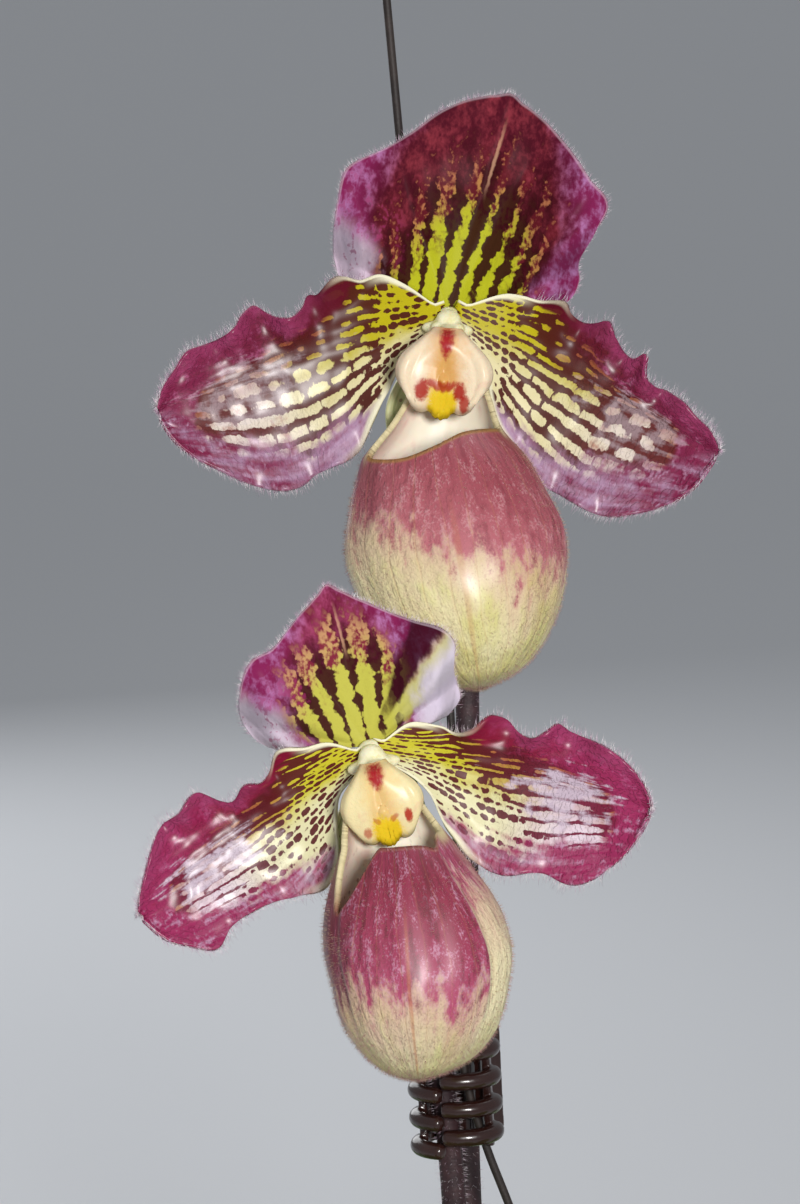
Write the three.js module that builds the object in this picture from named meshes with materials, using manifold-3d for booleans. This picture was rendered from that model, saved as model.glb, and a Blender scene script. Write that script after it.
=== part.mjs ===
// A potted slipper orchid (Paphiopedilum hybrid) with two open blooms, as a three.js scene graph of
// closed solids in millimetres, +Z up. The origin is the centre of the pot's flat base, -Y is the
// side that the blooms face, and every sub-part is one named mesh.
import * as THREE from "three";
import { mergeVertices } from "three/addons/utils/BufferGeometryUtils.js";
import Module from "manifold-3d";

const wasm = await Module();
wasm.setup();

// ---------------------------------------------------------------- driving dimensions (mm, degrees)
const GAP = 0.3; // clearance between two solids that touch on the plant
const POT = { rim: 55, foot: 40, height: 90, wall: 2.2, floor: 3, lip: 7, lipOut: 3, holes: 8 };
const BARK = { top: 80, chips: 32, length: 15, width: 9, thick: 6, seed: 7 };
const SEPAL_THICK = 0.9;
const PETAL_THICK = 0.8;
const POUCH_THICK = 1.1;
const LEAF_THICK = 1.3;
const LEAF_FOOT = 0.07; // half-width of a leaf's clasping foot, as a share of its full width
const LEAF_FOLD = 58; // how steeply a leaf's halves fold up at its foot
const HUB_RADIUS = 2.6; // the knob where sepals, petals and lip spring from the top of the ovary
const VIEW_TILT = -8; // both blooms lean back a little, facing slightly upwards

const WINE = "#7c1f45";
const CREAM = "#e9dfae";
const GREEN = "#3f7a2c";
const STEM = "#4a2f34";

// One entry for each bloom. Margins are (distance along the midrib, distance from it) in mm, read
// from the petal's base to its tip; sepal outlines are (angle from upright, distance from the hub).
// Pouch tables are (height above the middle of its mouth, distance), and its rim is (angle round
// the mouth from the front, height), one point for each lane of the pouch.
const LOWER = {
  hub: [-15.4, -38.6, 264.4],
  roll: -13,
  dorsal: {
    outline: [[-80, 16], [-76, 19.5], [-67, 23.2], [-55, 25], [-41, 26], [-32, 24.6], [-22, 25.5],
      [-11, 27.4], [-2, 29.2], [8, 26.6], [20, 24.4], [32, 23.8], [46, 24.6], [53, 23.6], [59, 20.6],
      [67, 19.2], [76, 18], [81, 15]],
    hood: 9,
    roll: 5,
  },
  petals: {
    left: {
      base: [1.9, -1.8],
      length: 47.5,
      droop: 21,
      upper: [[0, 2], [3.2, 5.7], [7.3, 7.4], [11.6, 9.6], [14.5, 7.6], [17.1, 6.5], [20, 7.8],
        [23.3, 6.6], [25.5, 8], [27.8, 11.6], [31.8, 10.3], [36.4, 10], [39.8, 7.5], [43.3, 4.4],
        [46, 1.8], [47.5, 0]],
      lower: [[0, 2], [4.2, 2.4], [7.2, 3.5], [9.8, 6.5], [12, 10.5], [15.4, 14.3], [18, 15.4],
        [22.5, 14.1], [29, 11.8], [35.6, 11.6], [39.5, 13.4], [43.9, 9.7], [46.7, 5.5], [47.5, 2]],
      wave: 11.2,
      phase: 0.2,
    },
    right: {
      base: [1.9, -1.4],
      length: 48.4,
      droop: 24,
      upper: [[0, 2.2], [3.5, 5.9], [6.5, 6.6], [9.7, 6.4], [12.3, 5.9], [15, 7], [18, 10.2],
        [20.5, 10], [23.7, 7.9], [25.5, 7.5], [28, 9.2], [29.9, 11], [32, 10.1], [36, 9.3],
        [39.6, 8.2], [42.7, 6.7], [45.7, 4.2], [47.6, 1.8], [48.4, 0]],
      lower: [[0, 2], [4, 2.6], [8, 4.4], [10.5, 6.5], [13.3, 10.5], [15.9, 12.8], [18.4, 15.1],
        [20.8, 16.4], [24.5, 17.4], [29.8, 16], [32.5, 15.6], [36.5, 16.6], [40.7, 14.9],
        [43.6, 11.9], [46.3, 7.9], [47.9, 3.7], [48.4, 1.6]],
      wave: 11.8,
      phase: 2.6,
    },
  },
  pouch: {
    mouth: [1.7, -17.6],
    lean: 8.7,
    left: [[-40.8, 0], [-39.6, 4], [-37.2, 7.6], [-32.4, 11.4], [-28.2, 13.6], [-23, 15], [-17, 15.9],
      [-11, 15.2], [-5, 13.4], [0, 11.6], [7, 8.4], [14, 4.6]],
    right: [[-40.8, 0], [-39.8, 4.2], [-38.2, 8.3], [-34.9, 12.5], [-29.7, 15.9], [-25, 17.9],
      [-19, 18.9], [-13.4, 17.9], [-9.6, 16.2], [-4.5, 13], [0, 10.2], [7, 7.4], [14, 4.4]],
    front: [[-40.8, 15], [-39.6, 19.5], [-36, 24], [-30, 27.6], [-22, 29.6], [-13, 28.6], [-6, 25.6],
      [0, 21], [6, 15], [14, 7]],
    rear: [[-40.8, 15], [-39.6, 10.5], [-36, 6.2], [-30, 3.2], [-20, 1.6], [-8, 1.4], [0, 1.6], [14, 1]],
    rimLeft: [[0, 0.4], [12, 0.3], [24, -0.4], [47, -9.4], [57, -10.6], [67, -6.4], [84, 1.6],
      [110, 7.6], [146, 12], [180, 13.8]],
    rimRight: [[0, 0.4], [12, 0.4], [24, 0.2], [36, -0.5], [44, 0.1], [57, 1.9], [78, 2.8],
      [106, 7.2], [144, 12], [180, 13.8]],
    creaseDepth: 1,
    creaseEnd: -27,
  },
  staminode: { width: 13.8, top: -2.8, bottom: -16.8 },
  synsepal: { length: 29, width: 20, lean: 8.7 },
};
const UPPER = {
  hub: [-0.8, 6, 339.1],
  roll: 5,
  dorsal: {
    outline: [[-82, 16], [-78, 20.5], [-70, 23.7], [-60, 26.4], [-50, 29.4], [-40, 32.8], [-30, 32.8],
      [-17, 33.5], [-7, 36.4], [2, 39], [10, 41.6], [20, 40.8], [31, 39], [42, 37], [52, 35.6],
      [56, 31.5], [61, 27.2], [70, 25.8], [78, 22.5], [82, 18]],
    hood: 12,
    roll: 6,
  },
  petals: {
    left: {
      base: [1.8, -1.3],
      length: 55.2,
      droop: 23.5,
      upper: [[0, 3], [3.8, 8.1], [8.3, 11.7], [11.6, 11.6], [15.1, 13.4], [17.8, 12.9], [20.2, 11.6],
        [22.1, 12], [23.9, 10], [26.4, 8.8], [29, 9.9], [32.5, 13.4], [34.7, 12.4], [36.6, 10.4],
        [40.6, 9.3], [47, 8.6], [49.9, 6.3], [53.3, 3.4], [55.2, 0.6]],
      lower: [[0, 2], [5, 3.5], [9.9, 6.5], [13.9, 10.4], [18.2, 14.7], [21.5, 18.4], [23.9, 19.7],
        [27.7, 20.1], [31.5, 20.6], [34.5, 21.8], [38.4, 21.3], [43.2, 18.5], [48.2, 13.9], [52.1, 9.7],
        [54.5, 5.2], [55.2, 2]],
      wave: 10.4,
      phase: 1.1,
    },
    right: {
      base: [2.3, -0.9],
      length: 54.1,
      droop: 23,
      upper: [[0, 3], [5, 8], [8.4, 9.4], [11.7, 10.1], [15.6, 11.8], [18.2, 10.4], [20.8, 10.2],
        [23.1, 11.2], [24.5, 12.4], [26.5, 11], [29.7, 8.9], [32.4, 8.5], [33.8, 10.2], [35.1, 7],
        [37.2, 5.7], [41.1, 6], [43.9, 5.4], [47.5, 4.1], [51.1, 2.8], [54.1, 0.5]],
      lower: [[0, 2], [5, 3.5], [10, 8], [16, 15.2], [19.1, 16.9], [23.4, 18.7], [27.2, 20.4],
        [31.4, 20.6], [38.1, 20.8], [41.8, 20], [45.5, 17.6], [49.6, 13.8], [52.6, 9.3],
        [53.8, 5], [54.1, 1.8]],
      wave: 9.6,
      phase: 0.4,
    },
  },
  pouch: {
    mouth: [0.8, -25.6],
    lean: -13.9,
    left: [[-45.3, 0], [-44.2, 4.4], [-42.6, 8.3], [-38.6, 13.1], [-32.5, 17.2], [-23.6, 20.2],
      [-17, 21], [-8.2, 18.9], [-2.3, 16.4], [0, 15.3], [6, 10.4], [13, 7.2], [21, 4.6]],
    right: [[-45.3, 0], [-44.2, 4.4], [-42.6, 8.1], [-38.6, 12.7], [-32.5, 16.7], [-24.5, 19.4],
      [-19, 19.9], [-9.7, 17.6], [-4.1, 15.3], [-0.7, 13.1], [2, 11.2], [8, 9], [21, 4.6]],
    front: [[-45.3, 17], [-44.2, 22], [-40, 27.5], [-33, 31.6], [-24, 33.6], [-14, 32.4], [-6, 29],
      [0, 24.6], [8, 17], [21, 8]],
    rear: [[-45.3, 17], [-44.2, 12], [-40, 7], [-33, 3.4], [-22, 1.4], [-8, 1.2], [0, 1.6], [21, 1]],
    rimLeft: [[0, 0.3], [14, -0.8], [28, -1.5], [46, -1.1], [60, -0.5], [74, 1], [90, 5],
      [112, 12.6], [146, 19.2], [180, 21.9]],
    rimRight: [[0, 0.3], [14, 1.4], [28, 1.7], [44, 1.6], [58, 1.5], [72, 1.5], [88, 5],
      [112, 12.6], [146, 19.2], [180, 21.9]],
    creaseDepth: 0.4,
    creaseEnd: -14,
  },
  staminode: { width: 17, top: -4, bottom: -20 },
  synsepal: { length: 36, width: 26, lean: -10 },
};

// Flowering stems, from the crown of their growth to the foot of the ovary.
const SCAPES = {
  lower: {
    path: [[3, -9, 94.5], [2.2, -8.6, 130], [0.4, -8, 170], [-1.6, -8, 192], [-3, -9.6, 206],
      [-5.2, -13, 222], [-8.4, -17.6, 240]],
    foot: 2.6,
    top: 2.1,
  },
  upper: {
    path: [[9, 13, 94.5], [5.4, 15, 130], [3, 17, 180], [3, 19.4, 220], [3.2, 22, 261], [2.5, 24, 313]],
    foot: 2.7,
    top: 2.2,
  },
};
const STAKE = {
  radius: 0.8,
  path: [[32.5, -9, 26], [31, -9, 84], [24.4, -8.4, 130], [16.2, -8, 155], [10.8, -7.9, 170],
    [6.6, -7.9, 181], [2.9, -7.9, 193], [1.4, -7.2, 204], [1.2, -4, 222], [0.4, 2.8, 250],
    [-1.6, 10.5, 280], [-4.4, 18, 315], [-8, 23.4, 350], [-13.9, 29, 412]],
};
const OVARY = { radius: 3, ribs: 6, ribHeight: 0.3 };
const BRACT = { length: 0.62, radius: 4.2, wrap: 105 };

// Growths in the bark, and the leaves on each: compass direction, length, width, rise at the base,
// angle at the tip, and the height on the crown where the leaf springs.
const CROWNS = {
  a: { at: [3, -9], leaves: [
    { turn: 186, length: 118, width: 38, rise: 40, tip: -22, height: 85.6 },
    { turn: 232, length: 104, width: 36, rise: 60, tip: 2, height: 91.2 },
    { turn: 278, length: 122, width: 40, rise: 38, tip: -24, height: 85.6 },
    { turn: 326, length: 112, width: 37, rise: 57, tip: -2, height: 91.2 },
  ] },
  b: { at: [9, 13], leaves: [
    { turn: 14, length: 126, width: 40, rise: 40, tip: -22, height: 85.6 },
    { turn: 62, length: 108, width: 36, rise: 47, tip: -4, height: 91.2 },
    { turn: 108, length: 118, width: 38, rise: 38, tip: -26, height: 85.6 },
  ] },
  c: { at: [-17, 16], leaves: [
    { turn: 128, length: 92, width: 32, rise: 54, tip: 2, height: 91.2 },
    { turn: 172, length: 108, width: 34, rise: 36, tip: -22, height: 85.6 },
  ] },
};
const CROWN = { radius: 5, foot: 60, top: 94, sides: 12 };

// The claw clip that holds the lower stem to the stake.
const CLIP = {
  at: [0.5, -8, 191.5], yaw: -14, tilt: -3, height: 22, inX: 6, inY: 3.9, wall: 1.6, fingers: 4,
  fingerRadius: 1.45, pin: 0.75, knuckle: 2, pinY: 8.2, handle: 8.5, handleTurn: 38,
};

// ---------------------------------------------------------------- shared shape helpers
const radians = THREE.MathUtils.degToRad;
const clamp = THREE.MathUtils.clamp;
const lerp = THREE.MathUtils.lerp;
const smooth = (x, low, high) => THREE.MathUtils.smoothstep(x, low, high);
const vec = (x, y, z) => new THREE.Vector3(x, y, z);

// A smooth curve through hand-set (x, y) points, read as y for any x.
function through(points, x) {
  const last = points.length - 1;
  let i = 0;
  while (i < last - 1 && x > points[i + 1][0]) i++;
  const [x0, y0] = points[i];
  const [x1, y1] = points[i + 1];
  const slope = (a, b) => (points[b][1] - points[a][1]) / (points[b][0] - points[a][0]);
  const here = slope(i, i + 1);
  const before = i > 0 ? slope(i - 1, i) : here;
  const after = i < last - 1 ? slope(i + 1, i + 2) : here;
  const ease = (a, b) => (a * b <= 0 ? (a + b) / 4 : (a + b) / 2);
  const span = x1 - x0;
  const t = clamp((x - x0) / span, 0, 1);
  const m0 = ease(before, here) * span;
  const m1 = ease(here, after) * span;
  return (2 * t ** 3 - 3 * t ** 2 + 1) * y0 + (t ** 3 - 2 * t ** 2 + t) * m0
    + (3 * t ** 2 - 2 * t ** 3) * y1 + (t ** 3 - t ** 2) * m1;
}

function geometryOf(positions, faces) {
  const geometry = new THREE.BufferGeometry();
  geometry.setAttribute("position", new THREE.Float32BufferAttribute(positions, 3));
  geometry.setIndex(faces);
  geometry.computeVertexNormals();
  return geometry;
}

// A thin blade: surface(u, v) is its middle, and both faces are split into triangles alike.
function blade(surface, nu, nv, thickness) {
  const step = 1e-3;
  const positions = [];
  for (const side of [1, -1]) {
    for (let i = 0; i <= nu; i++) {
      for (let j = 0; j <= nv; j++) {
        const u = i / nu;
        const v = j / nv;
        const along = surface(Math.min(u + step, 1), v).sub(surface(Math.max(u - step, 0), v));
        const across = surface(u, Math.min(v + step, 1)).sub(surface(u, Math.max(v - step, 0)));
        const normal = along.cross(across).normalize();
        positions.push(...surface(u, v).addScaledVector(normal, (side * thickness) / 2));
      }
    }
  }
  const row = nv + 1;
  const back = (nu + 1) * row;
  const faces = [];
  const quad = (a, b, c, d) => faces.push(a, b, c, a, c, d);
  for (let i = 0; i < nu; i++) {
    for (let j = 0; j < nv; j++) {
      const a = i * row + j;
      quad(a, a + row, a + row + 1, a + 1);
      faces.push(back + a, back + a + row + 1, back + a + row, back + a, back + a + 1, back + a + row + 1);
    }
  }
  for (let i = 0; i < nu; i++) {
    const left = i * row;
    const right = left + nv;
    quad(left, back + left, back + left + row, left + row);
    quad(right, right + row, back + right + row, back + right);
  }
  for (let j = 0; j < nv; j++) {
    const foot = j;
    const tip = nu * row + j;
    quad(foot, foot + 1, back + foot + 1, back + foot);
    quad(tip, back + tip, back + tip + 1, tip + 1);
  }
  return geometryOf(positions, faces);
}

// A closed solid through rings of points, each ring the same count, with a point at either end.
function loft(rings, startPoint, endPoint) {
  const count = rings[0].length;
  const positions = [];
  rings.forEach((ring) => ring.forEach((p) => positions.push(p.x, p.y, p.z)));
  const start = positions.length / 3;
  positions.push(...startPoint, ...endPoint);
  const faces = [];
  for (let i = 0; i < rings.length - 1; i++) {
    for (let j = 0; j < count; j++) {
      const a = i * count + j;
      const b = i * count + ((j + 1) % count);
      faces.push(a, b, b + count, a, b + count, a + count);
    }
  }
  const last = (rings.length - 1) * count;
  for (let j = 0; j < count; j++) {
    faces.push(start, (j + 1) % count, j, start + 1, last + j, last + ((j + 1) % count));
  }
  return geometryOf(positions, faces);
}

// A stem: rings square to a smooth path, with radius(t, angle) from its foot to its top.
function stem(path, radius, sides, steps) {
  const curve = new THREE.CatmullRomCurve3(path.map((p) => vec(...p)), false, "centripetal");
  const rings = [];
  for (let i = 0; i <= steps; i++) {
    const t = i / steps;
    const centre = curve.getPointAt(t);
    const ahead = curve.getTangentAt(t);
    const right = vec(1, 0, 0).addScaledVector(ahead, -ahead.x).normalize();
    const front = ahead.clone().cross(right);
    const ring = [];
    for (let j = 0; j < sides; j++) {
      const angle = (j / sides) * 2 * Math.PI;
      const r = radius(t, angle);
      ring.push(centre.clone().addScaledVector(right, r * Math.cos(angle))
        .addScaledVector(front, r * Math.sin(angle)));
    }
    rings.push(ring);
  }
  return loft(rings, curve.getPointAt(0), curve.getPointAt(1));
}

function solidOf(geometry) {
  const bare = geometry.clone();
  for (const name of ["normal", "uv"]) bare.deleteAttribute(name);
  const merged = mergeVertices(bare, 1e-4);
  return new wasm.Manifold(new wasm.Mesh({
    numProp: 3,
    vertProperties: new Float32Array(merged.attributes.position.array),
    triVerts: new Uint32Array(merged.index.array),
  }));
}

function geometryFrom(solid) {
  const mesh = solid.getMesh();
  return geometryOf(Array.from(mesh.vertProperties), Array.from(mesh.triVerts));
}

const joined = (geometries) => geometries.map(solidOf).reduce((whole, piece) => whole.add(piece));

function placed(geometry, position, rotation = [0, 0, 0], scale = [1, 1, 1]) {
  const matrix = new THREE.Matrix4().compose(
    vec(...position),
    new THREE.Quaternion().setFromEuler(new THREE.Euler(...rotation)),
    vec(...scale),
  );
  return geometry.clone().applyMatrix4(matrix);
}

function named(name, geometry, color, roughness = 0.6) {
  const mesh = new THREE.Mesh(geometry, new THREE.MeshStandardMaterial({ color, roughness, metalness: 0 }));
  mesh.name = name;
  return mesh;
}

// A small repeatable random source, so that every build gives the same bark.
function randomFrom(seed) {
  let state = seed;
  return () => {
    state = (state * 1664525 + 1013904223) % 4294967296;
    return state / 4294967296;
  };
}

// ---------------------------------------------------------------- pot, bark and crowns
function potMesh() {
  const inner = POT.rim - POT.wall;
  const innerFoot = POT.foot - POT.wall;
  const profile = [
    [0, 0], [POT.foot, 0], [POT.rim - 1, POT.height - POT.lip], [POT.rim + POT.lipOut - 1, POT.height - POT.lip],
    [POT.rim + POT.lipOut, POT.height - 1], [POT.rim + POT.lipOut - 1, POT.height],
    [inner, POT.height], [innerFoot, POT.floor], [0, POT.floor],
  ].map(([r, z]) => new THREE.Vector2(r, z));
  const body = new THREE.LatheGeometry(profile, 32).rotateX(Math.PI / 2);
  const hole = new THREE.CylinderGeometry(2.5, 2.5, 3 * POT.floor, 12).rotateX(Math.PI / 2);
  let pot = solidOf(body);
  for (let i = 0; i < POT.holes; i++) {
    const angle = (i / POT.holes) * 2 * Math.PI;
    const at = [0.68 * POT.foot * Math.cos(angle), 0.68 * POT.foot * Math.sin(angle), POT.floor / 2];
    pot = pot.subtract(solidOf(placed(hole, at)));
  }
  return named("pot", geometryFrom(pot), "#17181a", 0.5);
}

// Radius of the pot's inside at a height.
const insideAt = (z) => lerp(POT.foot, POT.rim, (z - POT.floor) / (POT.height - POT.floor)) - POT.wall;

function barkMesh() {
  const low = POT.floor + GAP;
  const body = new THREE.LatheGeometry([
    [0, low], [insideAt(low) - GAP, low], [insideAt(BARK.top - 3) - GAP, BARK.top - 3],
    [0, BARK.top - 1],
  ].map(([r, z]) => new THREE.Vector2(r, z)), 32).rotateX(Math.PI / 2);
  const random = randomFrom(BARK.seed);
  const chips = [];
  for (let i = 0; i < BARK.chips; i++) {
    const reach = Math.sqrt((i + 0.5) / BARK.chips) * (insideAt(BARK.top - 6) - 10.5);
    const turn = i * 2.39996 + 0.4 * random();
    const size = [BARK.length, BARK.width, BARK.thick].map((s) => s * (0.7 + 0.45 * random()));
    chips.push(placed(
      new THREE.BoxGeometry(...size),
      [reach * Math.cos(turn), reach * Math.sin(turn), BARK.top - 2.4 + 1.6 * random()],
      [0.5 * (random() - 0.5), 0.5 * (random() - 0.5), Math.PI * random()],
    ));
  }
  let bark = joined([body, ...chips]);
  for (const crown of Object.values(CROWNS)) {
    const hole = new THREE.CylinderGeometry(CROWN.radius + GAP, CROWN.radius + GAP, 60, CROWN.sides)
      .rotateX(Math.PI / 2);
    bark = bark.subtract(solidOf(placed(hole, [...crown.at, CROWN.foot - GAP + 30])));
  }
  const stakeHole = stem(STAKE.path.slice(0, 3), () => STAKE.radius + GAP, 8, 8);
  const stakeFoot = new THREE.SphereGeometry(STAKE.radius + GAP, 8, 6);
  bark = bark.subtract(solidOf(stakeHole)).subtract(solidOf(placed(stakeFoot, STAKE.path[0])));
  const whole = bark.decompose().sort((a, b) => b.volume() - a.volume())[0];
  return named("bark_mix", geometryFrom(whole), "#5b3a26", 0.9);
}

// The short fleshy stem that carries a growth's leaves, cut back where each leaf's foot clasps it.
function crownMesh(name, crown) {
  const profile = [
    [0, CROWN.foot], [CROWN.radius * 0.8, CROWN.foot], [CROWN.radius, CROWN.foot + 6],
    [CROWN.radius, CROWN.top - 1.4], [CROWN.radius * 0.7, CROWN.top], [0, CROWN.top],
  ].map(([r, z]) => new THREE.Vector2(r, z));
  const body = new THREE.LatheGeometry(profile, CROWN.sides).rotateX(Math.PI / 2);
  return named(name, placed(body, [...crown.at, 0]), "#4d7a35", 0.6);
}

// ---------------------------------------------------------------- leaves
// A strap leaf: folded into a keel at its foot, opening flat, arching over to its tip.
function leafMesh(name, crown, leaf) {
  const stretches = 40;
  const turn = radians(leaf.turn);
  const out = vec(Math.cos(turn), Math.sin(turn), 0);
  const side = vec(-Math.sin(turn), Math.cos(turn), 0);
  const pitch = (t) => radians(lerp(leaf.rise, leaf.tip, t ** 0.9));
  const clasp = LEAF_FOOT * leaf.width * Math.sin(radians(LEAF_FOLD)) * Math.sin(radians(leaf.rise));
  const rib = [vec(crown.at[0], crown.at[1], leaf.height)
    .addScaledVector(out, CROWN.radius + clasp + LEAF_THICK / 2 + GAP)];
  for (let i = 0; i < stretches; i++) {
    const angle = pitch((i + 0.5) / stretches);
    const step = out.clone().multiplyScalar(Math.cos(angle)).add(vec(0, 0, Math.sin(angle)));
    rib.push(rib[i].clone().addScaledVector(step, leaf.length / stretches));
  }
  const curve = new THREE.CatmullRomCurve3(rib);
  const halfWidth = [[0, LEAF_FOOT], [0.12, 0.22], [0.3, 0.43], [0.5, 0.5], [0.7, 0.46], [0.86, 0.31],
    [0.95, 0.14], [1, 0.03]];
  const surface = (u, v) => {
    const t = u;
    const across = 2 * v - 1;
    const half = leaf.width * through(halfWidth, t);
    const fold = radians(lerp(LEAF_FOLD, 13, smooth(t, 0, 0.45)));
    const angle = pitch(t);
    const above = out.clone().multiplyScalar(-Math.sin(angle)).add(vec(0, 0, Math.cos(angle)));
    return curve.getPoint(t).addScaledVector(side, half * across * Math.cos(fold))
      .addScaledVector(above, half * Math.abs(across) * Math.sin(fold));
  };
  return named(name, blade(surface, 12, 4, LEAF_THICK), GREEN, 0.45);
}

// ---------------------------------------------------------------- blooms
// Points of a bloom are in its own frame: X to the right, Z up, -Y towards whoever faces it.

// The wide upper sepal, a fan from the hub, hooded forwards with its side edges rolled back.
function dorsalSurface(sepal) {
  const [first, last] = [sepal.outline[0][0], sepal.outline.at(-1)[0]];
  return (u, v) => {
    const degrees = lerp(first, last, v);
    const angle = radians(degrees);
    const reach = through(sepal.outline, degrees);
    const r = lerp(HUB_RADIUS, reach, u);
    const share = r / reach;
    const sideways = smooth(Math.abs(degrees), 22, 50) * (1 - smooth(Math.abs(degrees), 54, 68));
    const hood = sepal.hood * (0.45 * (1 - smooth(Math.abs(degrees), 10, 60)) + 0.9 * sideways);
    const rolled = sepal.roll * smooth(share, 0.74, 1) * smooth(Math.abs(degrees), 30, 62);
    return vec(r * Math.sin(angle), 2.3 - hood * share ** 1.7 + rolled, r * Math.cos(angle));
  };
}

// A petal between its two waved margins, swept a little forwards and drooping from the hub.
function petalSurface(petal, side) {
  const angle = radians(-petal.droop);
  const offsetAt = (s, v) => lerp(-through(petal.lower, s), through(petal.upper, s), v);
  const faceAt = (s, v) => [
    petal.base[0] + s * Math.cos(angle) - offsetAt(s, v) * Math.sin(angle),
    petal.base[1] + s * Math.sin(angle) + offsetAt(s, v) * Math.cos(angle),
  ];
  const clear = ([x, z]) => x > 2 * GAP && Math.hypot(x, z) > HUB_RADIUS + GAP + 0.1;
  const startAt = (v) => {
    let s = -2;
    while (!clear(faceAt(s, v))) s += 0.05;
    return s;
  };
  return (u, v) => {
    const s = lerp(startAt(v), petal.length, Math.sin((u * Math.PI) / 2) ** 0.9);
    const share = Math.max(s / petal.length, 0);
    const across = 2 * v - 1;
    const edge = Math.abs(across) ** 3;
    const swell = smooth(share, 0.1, 0.3) * (1 - smooth(share, 0.72, 0.95));
    const wave = across > 0 ? 2 : 1;
    const ruffle = wave * edge * swell * Math.sin((2 * Math.PI * s) / petal.wave + petal.phase);
    const bowl = 1.6 * across ** 2 * smooth(share, 0.05, 0.4);
    const depth = -0.3 + 1.6 * Math.sin(share * Math.PI) - 6 * share ** 2 - bowl + ruffle;
    const [x, z] = faceAt(s, v);
    return vec(side * x, depth, z);
  };
}

// The joined lower sepals, a spoon behind the pouch.
function synsepalSurface(synsepal) {
  const halfWidth = [[0, 0.13], [0.2, 0.34], [0.45, 0.5], [0.7, 0.42], [0.9, 0.2], [1, 0.05]];
  const lean = Math.tan(radians(synsepal.lean));
  return (u, v) => {
    const across = 2 * v - 1;
    const down = u * synsepal.length;
    const x = across * synsepal.width * through(halfWidth, u) - down * lean;
    const y = 1.4 + 5 * u ** 0.8 - 2.6 * across ** 2 * Math.sin(Math.PI * clamp(u, 0, 1));
    return vec(x, y, -HUB_RADIUS - 1.4 - down);
  };
}

// One ring of the pouch: t runs from the toe to the rim. Every lane has its own angle round the
// body and its own end on the rim, and lane 3 is the crease where the front laps over the sides.
const POUCH_LANES = [0, 16, 32, 48, 55, 75, 98, 125, 152, 180];
function pouchRing(pouch, t, inset) {
  const toe = pouch.left[0][0];
  const lean = radians(pouch.lean);
  const hubX = pouch.mouth[1] * Math.sin(lean) - pouch.mouth[0] * Math.cos(lean);
  const lanes = POUCH_LANES.length;
  const ring = [];
  for (let turn = 2 - lanes; turn < lanes; turn++) {
    const side = turn < 0 ? -1 : 1;
    const lane = Math.abs(turn);
    const [rimAngle, rimHeight] = (side < 0 ? pouch.rimLeft : pouch.rimRight)[lane];
    const z = lerp(toe, rimHeight, t ** 1.5);
    const angle = radians(lerp(POUCH_LANES[lane], rimAngle, smooth(t, 0.55, 1)));
    const lapped = lane > 3 && lane < 8 ? (lane < 7 ? 1 : 0.5) : 0;
    const step = pouch.creaseDepth * lapped * smooth(z, pouch.creaseEnd - 6, pouch.creaseEnd + 4);
    const wide = through(side < 0 ? pouch.left : pouch.right, z) - inset - step;
    const front = through(pouch.front, z);
    const rear = through(pouch.rear, z);
    const deep = (front - rear) / 2 - inset - step;
    ring.push(vec(
      side * Math.max(wide, 0.4) * Math.sin(angle) + hubX * clamp(z / pouch.rimLeft.at(-1)[1], 0, 1),
      -(front + rear) / 2 - Math.max(deep, 0.4) * Math.cos(angle),
      z + inset * (1 - smooth(z, toe, toe + 6)),
    ));
  }
  return ring;
}

// A slipper-shaped shell, open at its mouth in front of the column.
function pouchGeometry(pouch) {
  const steps = 12;
  const rings = [];
  for (let i = 1; i <= steps; i++) rings.push(pouchRing(pouch, i / steps, 0));
  for (let i = steps; i >= 1; i--) rings.push(pouchRing(pouch, i / steps, POUCH_THICK));
  const toe = [0, -pouch.front[0][1], pouch.left[0][0]];
  return loft(rings, toe, [toe[0], toe[1], toe[2] + POUCH_THICK]);
}

// The column: hub, short neck, two anthers and the stigma below the shield.
function columnGeometry(bloom) {
  const reach = bloom.staminode.width / 14;
  const neckEnd = 0.8 * bloom.staminode.width - 0.6;
  const hub = new THREE.SphereGeometry(HUB_RADIUS, 10, 7);
  const neck = placed(new THREE.CapsuleGeometry(1.9, neckEnd - 1.9, 2, 7), [0, 1 - neckEnd / 2, -2.2], [0.3, 0, 0]);
  const anther = new THREE.SphereGeometry(1.2, 6, 4);
  const stigma = placed(
    new THREE.SphereGeometry(2.5, 7, 5), [0, -4.6 * reach, -5], [0.5, 0, 0], [1, 0.8, 0.7]);
  const pair = [-1, 1].map((side) => placed(anther, [2.1 * side, -3.6 * reach, -3.2]));
  return geometryFrom(joined([hub, neck, stigma, ...pair]));
}

// The shield in front of the column, with a tongue and two side lobes along its lower edge.
function staminodeGeometry(bloom) {
  const shield = bloom.staminode;
  const halfWidth = [[0, 0.2], [0.12, 0.31], [0.3, 0.42], [0.55, 0.5], [0.78, 0.47], [1, 0.36]];
  const lowerEdge = [[0, 0.97], [0.2, 0.93], [0.42, 0.86], [0.62, 0.93], [0.8, 0.93], [1, 0.8]];
  const surface = (u, v) => {
    const across = 2 * v - 1;
    const foot = lerp(shield.top, shield.bottom, through(lowerEdge, Math.abs(across)));
    const x = across * shield.width * through(halfWidth, u);
    const y = -shield.width * (0.66 + 0.12 * (1 - across ** 2) + 0.1 * Math.sin(Math.PI * u));
    return vec(x, y, lerp(shield.top, foot, u));
  };
  return blade(surface, 6, 8, 1.4);
}

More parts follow.
